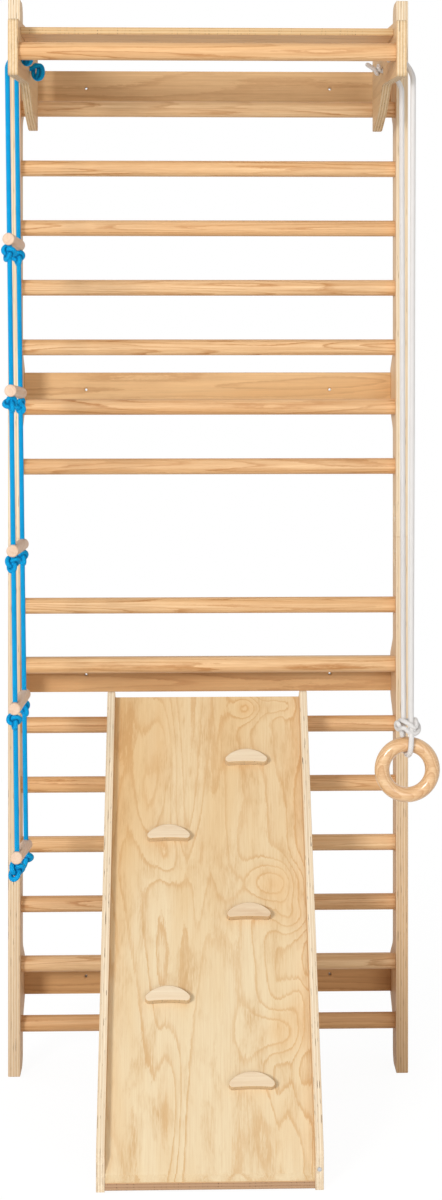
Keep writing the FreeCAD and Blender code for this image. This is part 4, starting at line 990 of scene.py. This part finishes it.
# stoppers inside the canopy panels: a hitch by the hole, then the blue one's loop or the white one's tail;
# points run inwards from the hole, then to the front, then up; sizes are the front one's and the back one's
endKnots = {
    "ladderEndKnots": {
        "node": "ladder_end_knots", "finish": "blue", "hole": -0.3645, "inwards": 1,
        "sizes": (0.8, 1.0), "points": [
            (0.0000, 0.0, 0.0000), (0.0120, 0.0, 0.0020), (0.0190, 0.004, 0.0070),
            (0.0300, 0.006, 0.0090), (0.0345, 0.006, 0.0000), (0.0330, 0.005, -0.0140),
            (0.0240, 0.002, -0.0185), (0.0160, -0.001, -0.0120), (0.0150, -0.004, 0.0020),
            (0.0180, -0.006, 0.0110), (0.0260, -0.004, 0.0080), (0.0255, 0.001, -0.0080),
            (0.0230, 0.004, -0.0130),
        ],
    },
    "ringEndKnots": {
        "node": "ring_end_knots", "finish": "white", "hole": 0.3245, "inwards": -1,
        "sizes": (0.9, 1.0), "points": [
            (0.0000, 0.0, 0.0000), (0.0120, 0.0, 0.0000), (0.0160, 0.006, 0.0040),
            (0.0160, 0.004, 0.0105), (0.0155, -0.005, 0.0080), (0.0160, -0.006, -0.0040),
            (0.0190, 0.001, -0.0050), (0.0230, 0.004, 0.0030), (0.0370, 0.001, 0.0120),
        ],
    },
}
endCord = 0.0086
for name, knot in endKnots.items():
    runs = []
    for depth, size in zip(holeDepths.values(), knot["sizes"]):
        hole, along = Vector((knot["hole"], depth, holeHeight)), Vector((knot["inwards"], -1, 1)) * size
        runs.append([hole + along * Vector(point) for point in knot["points"]])
    boundTube(name, "frame", knot["node"], knot["finish"], endCord, runs)
print("ropes and knots made")

# fittings keep their CAD form
fittings = {
    "post_joint_rods": "steel", "post_joint_nuts": "steel", "board_bolts": "steel", "board_barrels": "steel",
    "canopy_screws": "steel", "ramp_screws": "steel", "post_joint_dowels": "beech",
}
for node, finish in fittings.items():
    nodes[node].data.materials.clear()
    nodes[node].data.materials.append(materials[finish])


# floor, light and background
studio = {
    "floor": colour(0.72, 0.72, 0.72),
    "half": 30.0,
    "world": 0.52,
    "near": 0.8,  # metres from the frame's foot over which the floor turns plain white
    "far": 3.0,
    "share": 0.86,  # how much of the near floor is plain white, and how bright that is
    "glow": 1.085,
    "lamps": [
        # name, place, aim, size, power
        ("keyLamp", (-3.0, -6.2, 2.8), (0.0, 0.1, 1.1), 1.5, 250.0),
        ("fillLamp", (2.0, -6.5, 1.8), (0.0, 0.1, 1.1), 3.0, 80.0),
    ],
}


def isSeen(tree):
    # 1 for what the camera sees, straight or in a gloss
    path = addNode(tree, "ShaderNodeLightPath").outputs
    return maths(tree, "MAXIMUM", path["Is Camera Ray"], path["Is Glossy Ray"])


def whiteForCamera(tree, shader):
    # the camera sees mostly plain white here, with some shadow near the frame and none far off
    away = addNode(tree, "ShaderNodeVectorMath", {0: objectPlace(tree)}, operation="LENGTH").outputs["Value"]
    share = spread(tree, away, studio["near"], studio["far"], studio["share"], 1.0)
    strength = spread(tree, away, studio["near"], studio["far"], studio["glow"], 1.0)
    bright = addNode(tree, "ShaderNodeEmission", {"Color": colour(1.0, 1.0, 1.0), "Strength": strength})
    white = times(tree, isSeen(tree), share)
    return addNode(tree, "ShaderNodeMixShader", {0: white, 1: shader, 2: bright.outputs[0]}).outputs[0]


def makeStudio():
    mesh = bpy.data.meshes.new("studioFloor")
    half = studio["half"]
    corners = [(-half, -half, 0), (half, -half, 0), (half, half, 0), (-half, half, 0)]
    mesh.from_pydata(corners, [], [(0, 1, 2, 3)])
    floor = addObject("studioFloor", mesh)
    material, tree, shader = newMaterial("studioFloor")
    shader.inputs["Base Color"].default_value = studio["floor"]
    shader.inputs["Roughness"].default_value = 0.9
    surface = tree.nodes["Material Output"].inputs["Surface"]
    wire(tree, surface, whiteForCamera(tree, shader.outputs[0]))
    mesh.materials.append(material)

    world = bpy.data.worlds.new("studioWorld")
    scene.world = world
    world.use_nodes = True
    tree = world.node_tree
    tree.nodes.clear()
    plain = colour(1.0, 1.0, 1.0)
    light = addNode(tree, "ShaderNodeBackground", {"Color": plain, "Strength": studio["world"]})
    white = addNode(tree, "ShaderNodeBackground", {"Color": plain, "Strength": 1.0})
    mix = addNode(tree, "ShaderNodeMixShader", {0: isSeen(tree), 1: light.outputs[0], 2: white.outputs[0]})
    addNode(tree, "ShaderNodeOutputWorld", {"Surface": mix.outputs[0]})

    for name, place, aim, size, power in studio["lamps"]:
        data = bpy.data.lights.new(name, "AREA")
        data.shape = "DISK"
        data.size = size
        data.energy = power
        lamp = bpy.data.objects.new(name, data)
        lamp.location = place
        lamp.rotation_euler = (Vector(aim) - Vector(place)).to_track_quat("-Z", "Y").to_euler()
        scene.collection.objects.link(lamp)


makeStudio()
scene.view_settings.view_transform = "Standard"
print("studio made")
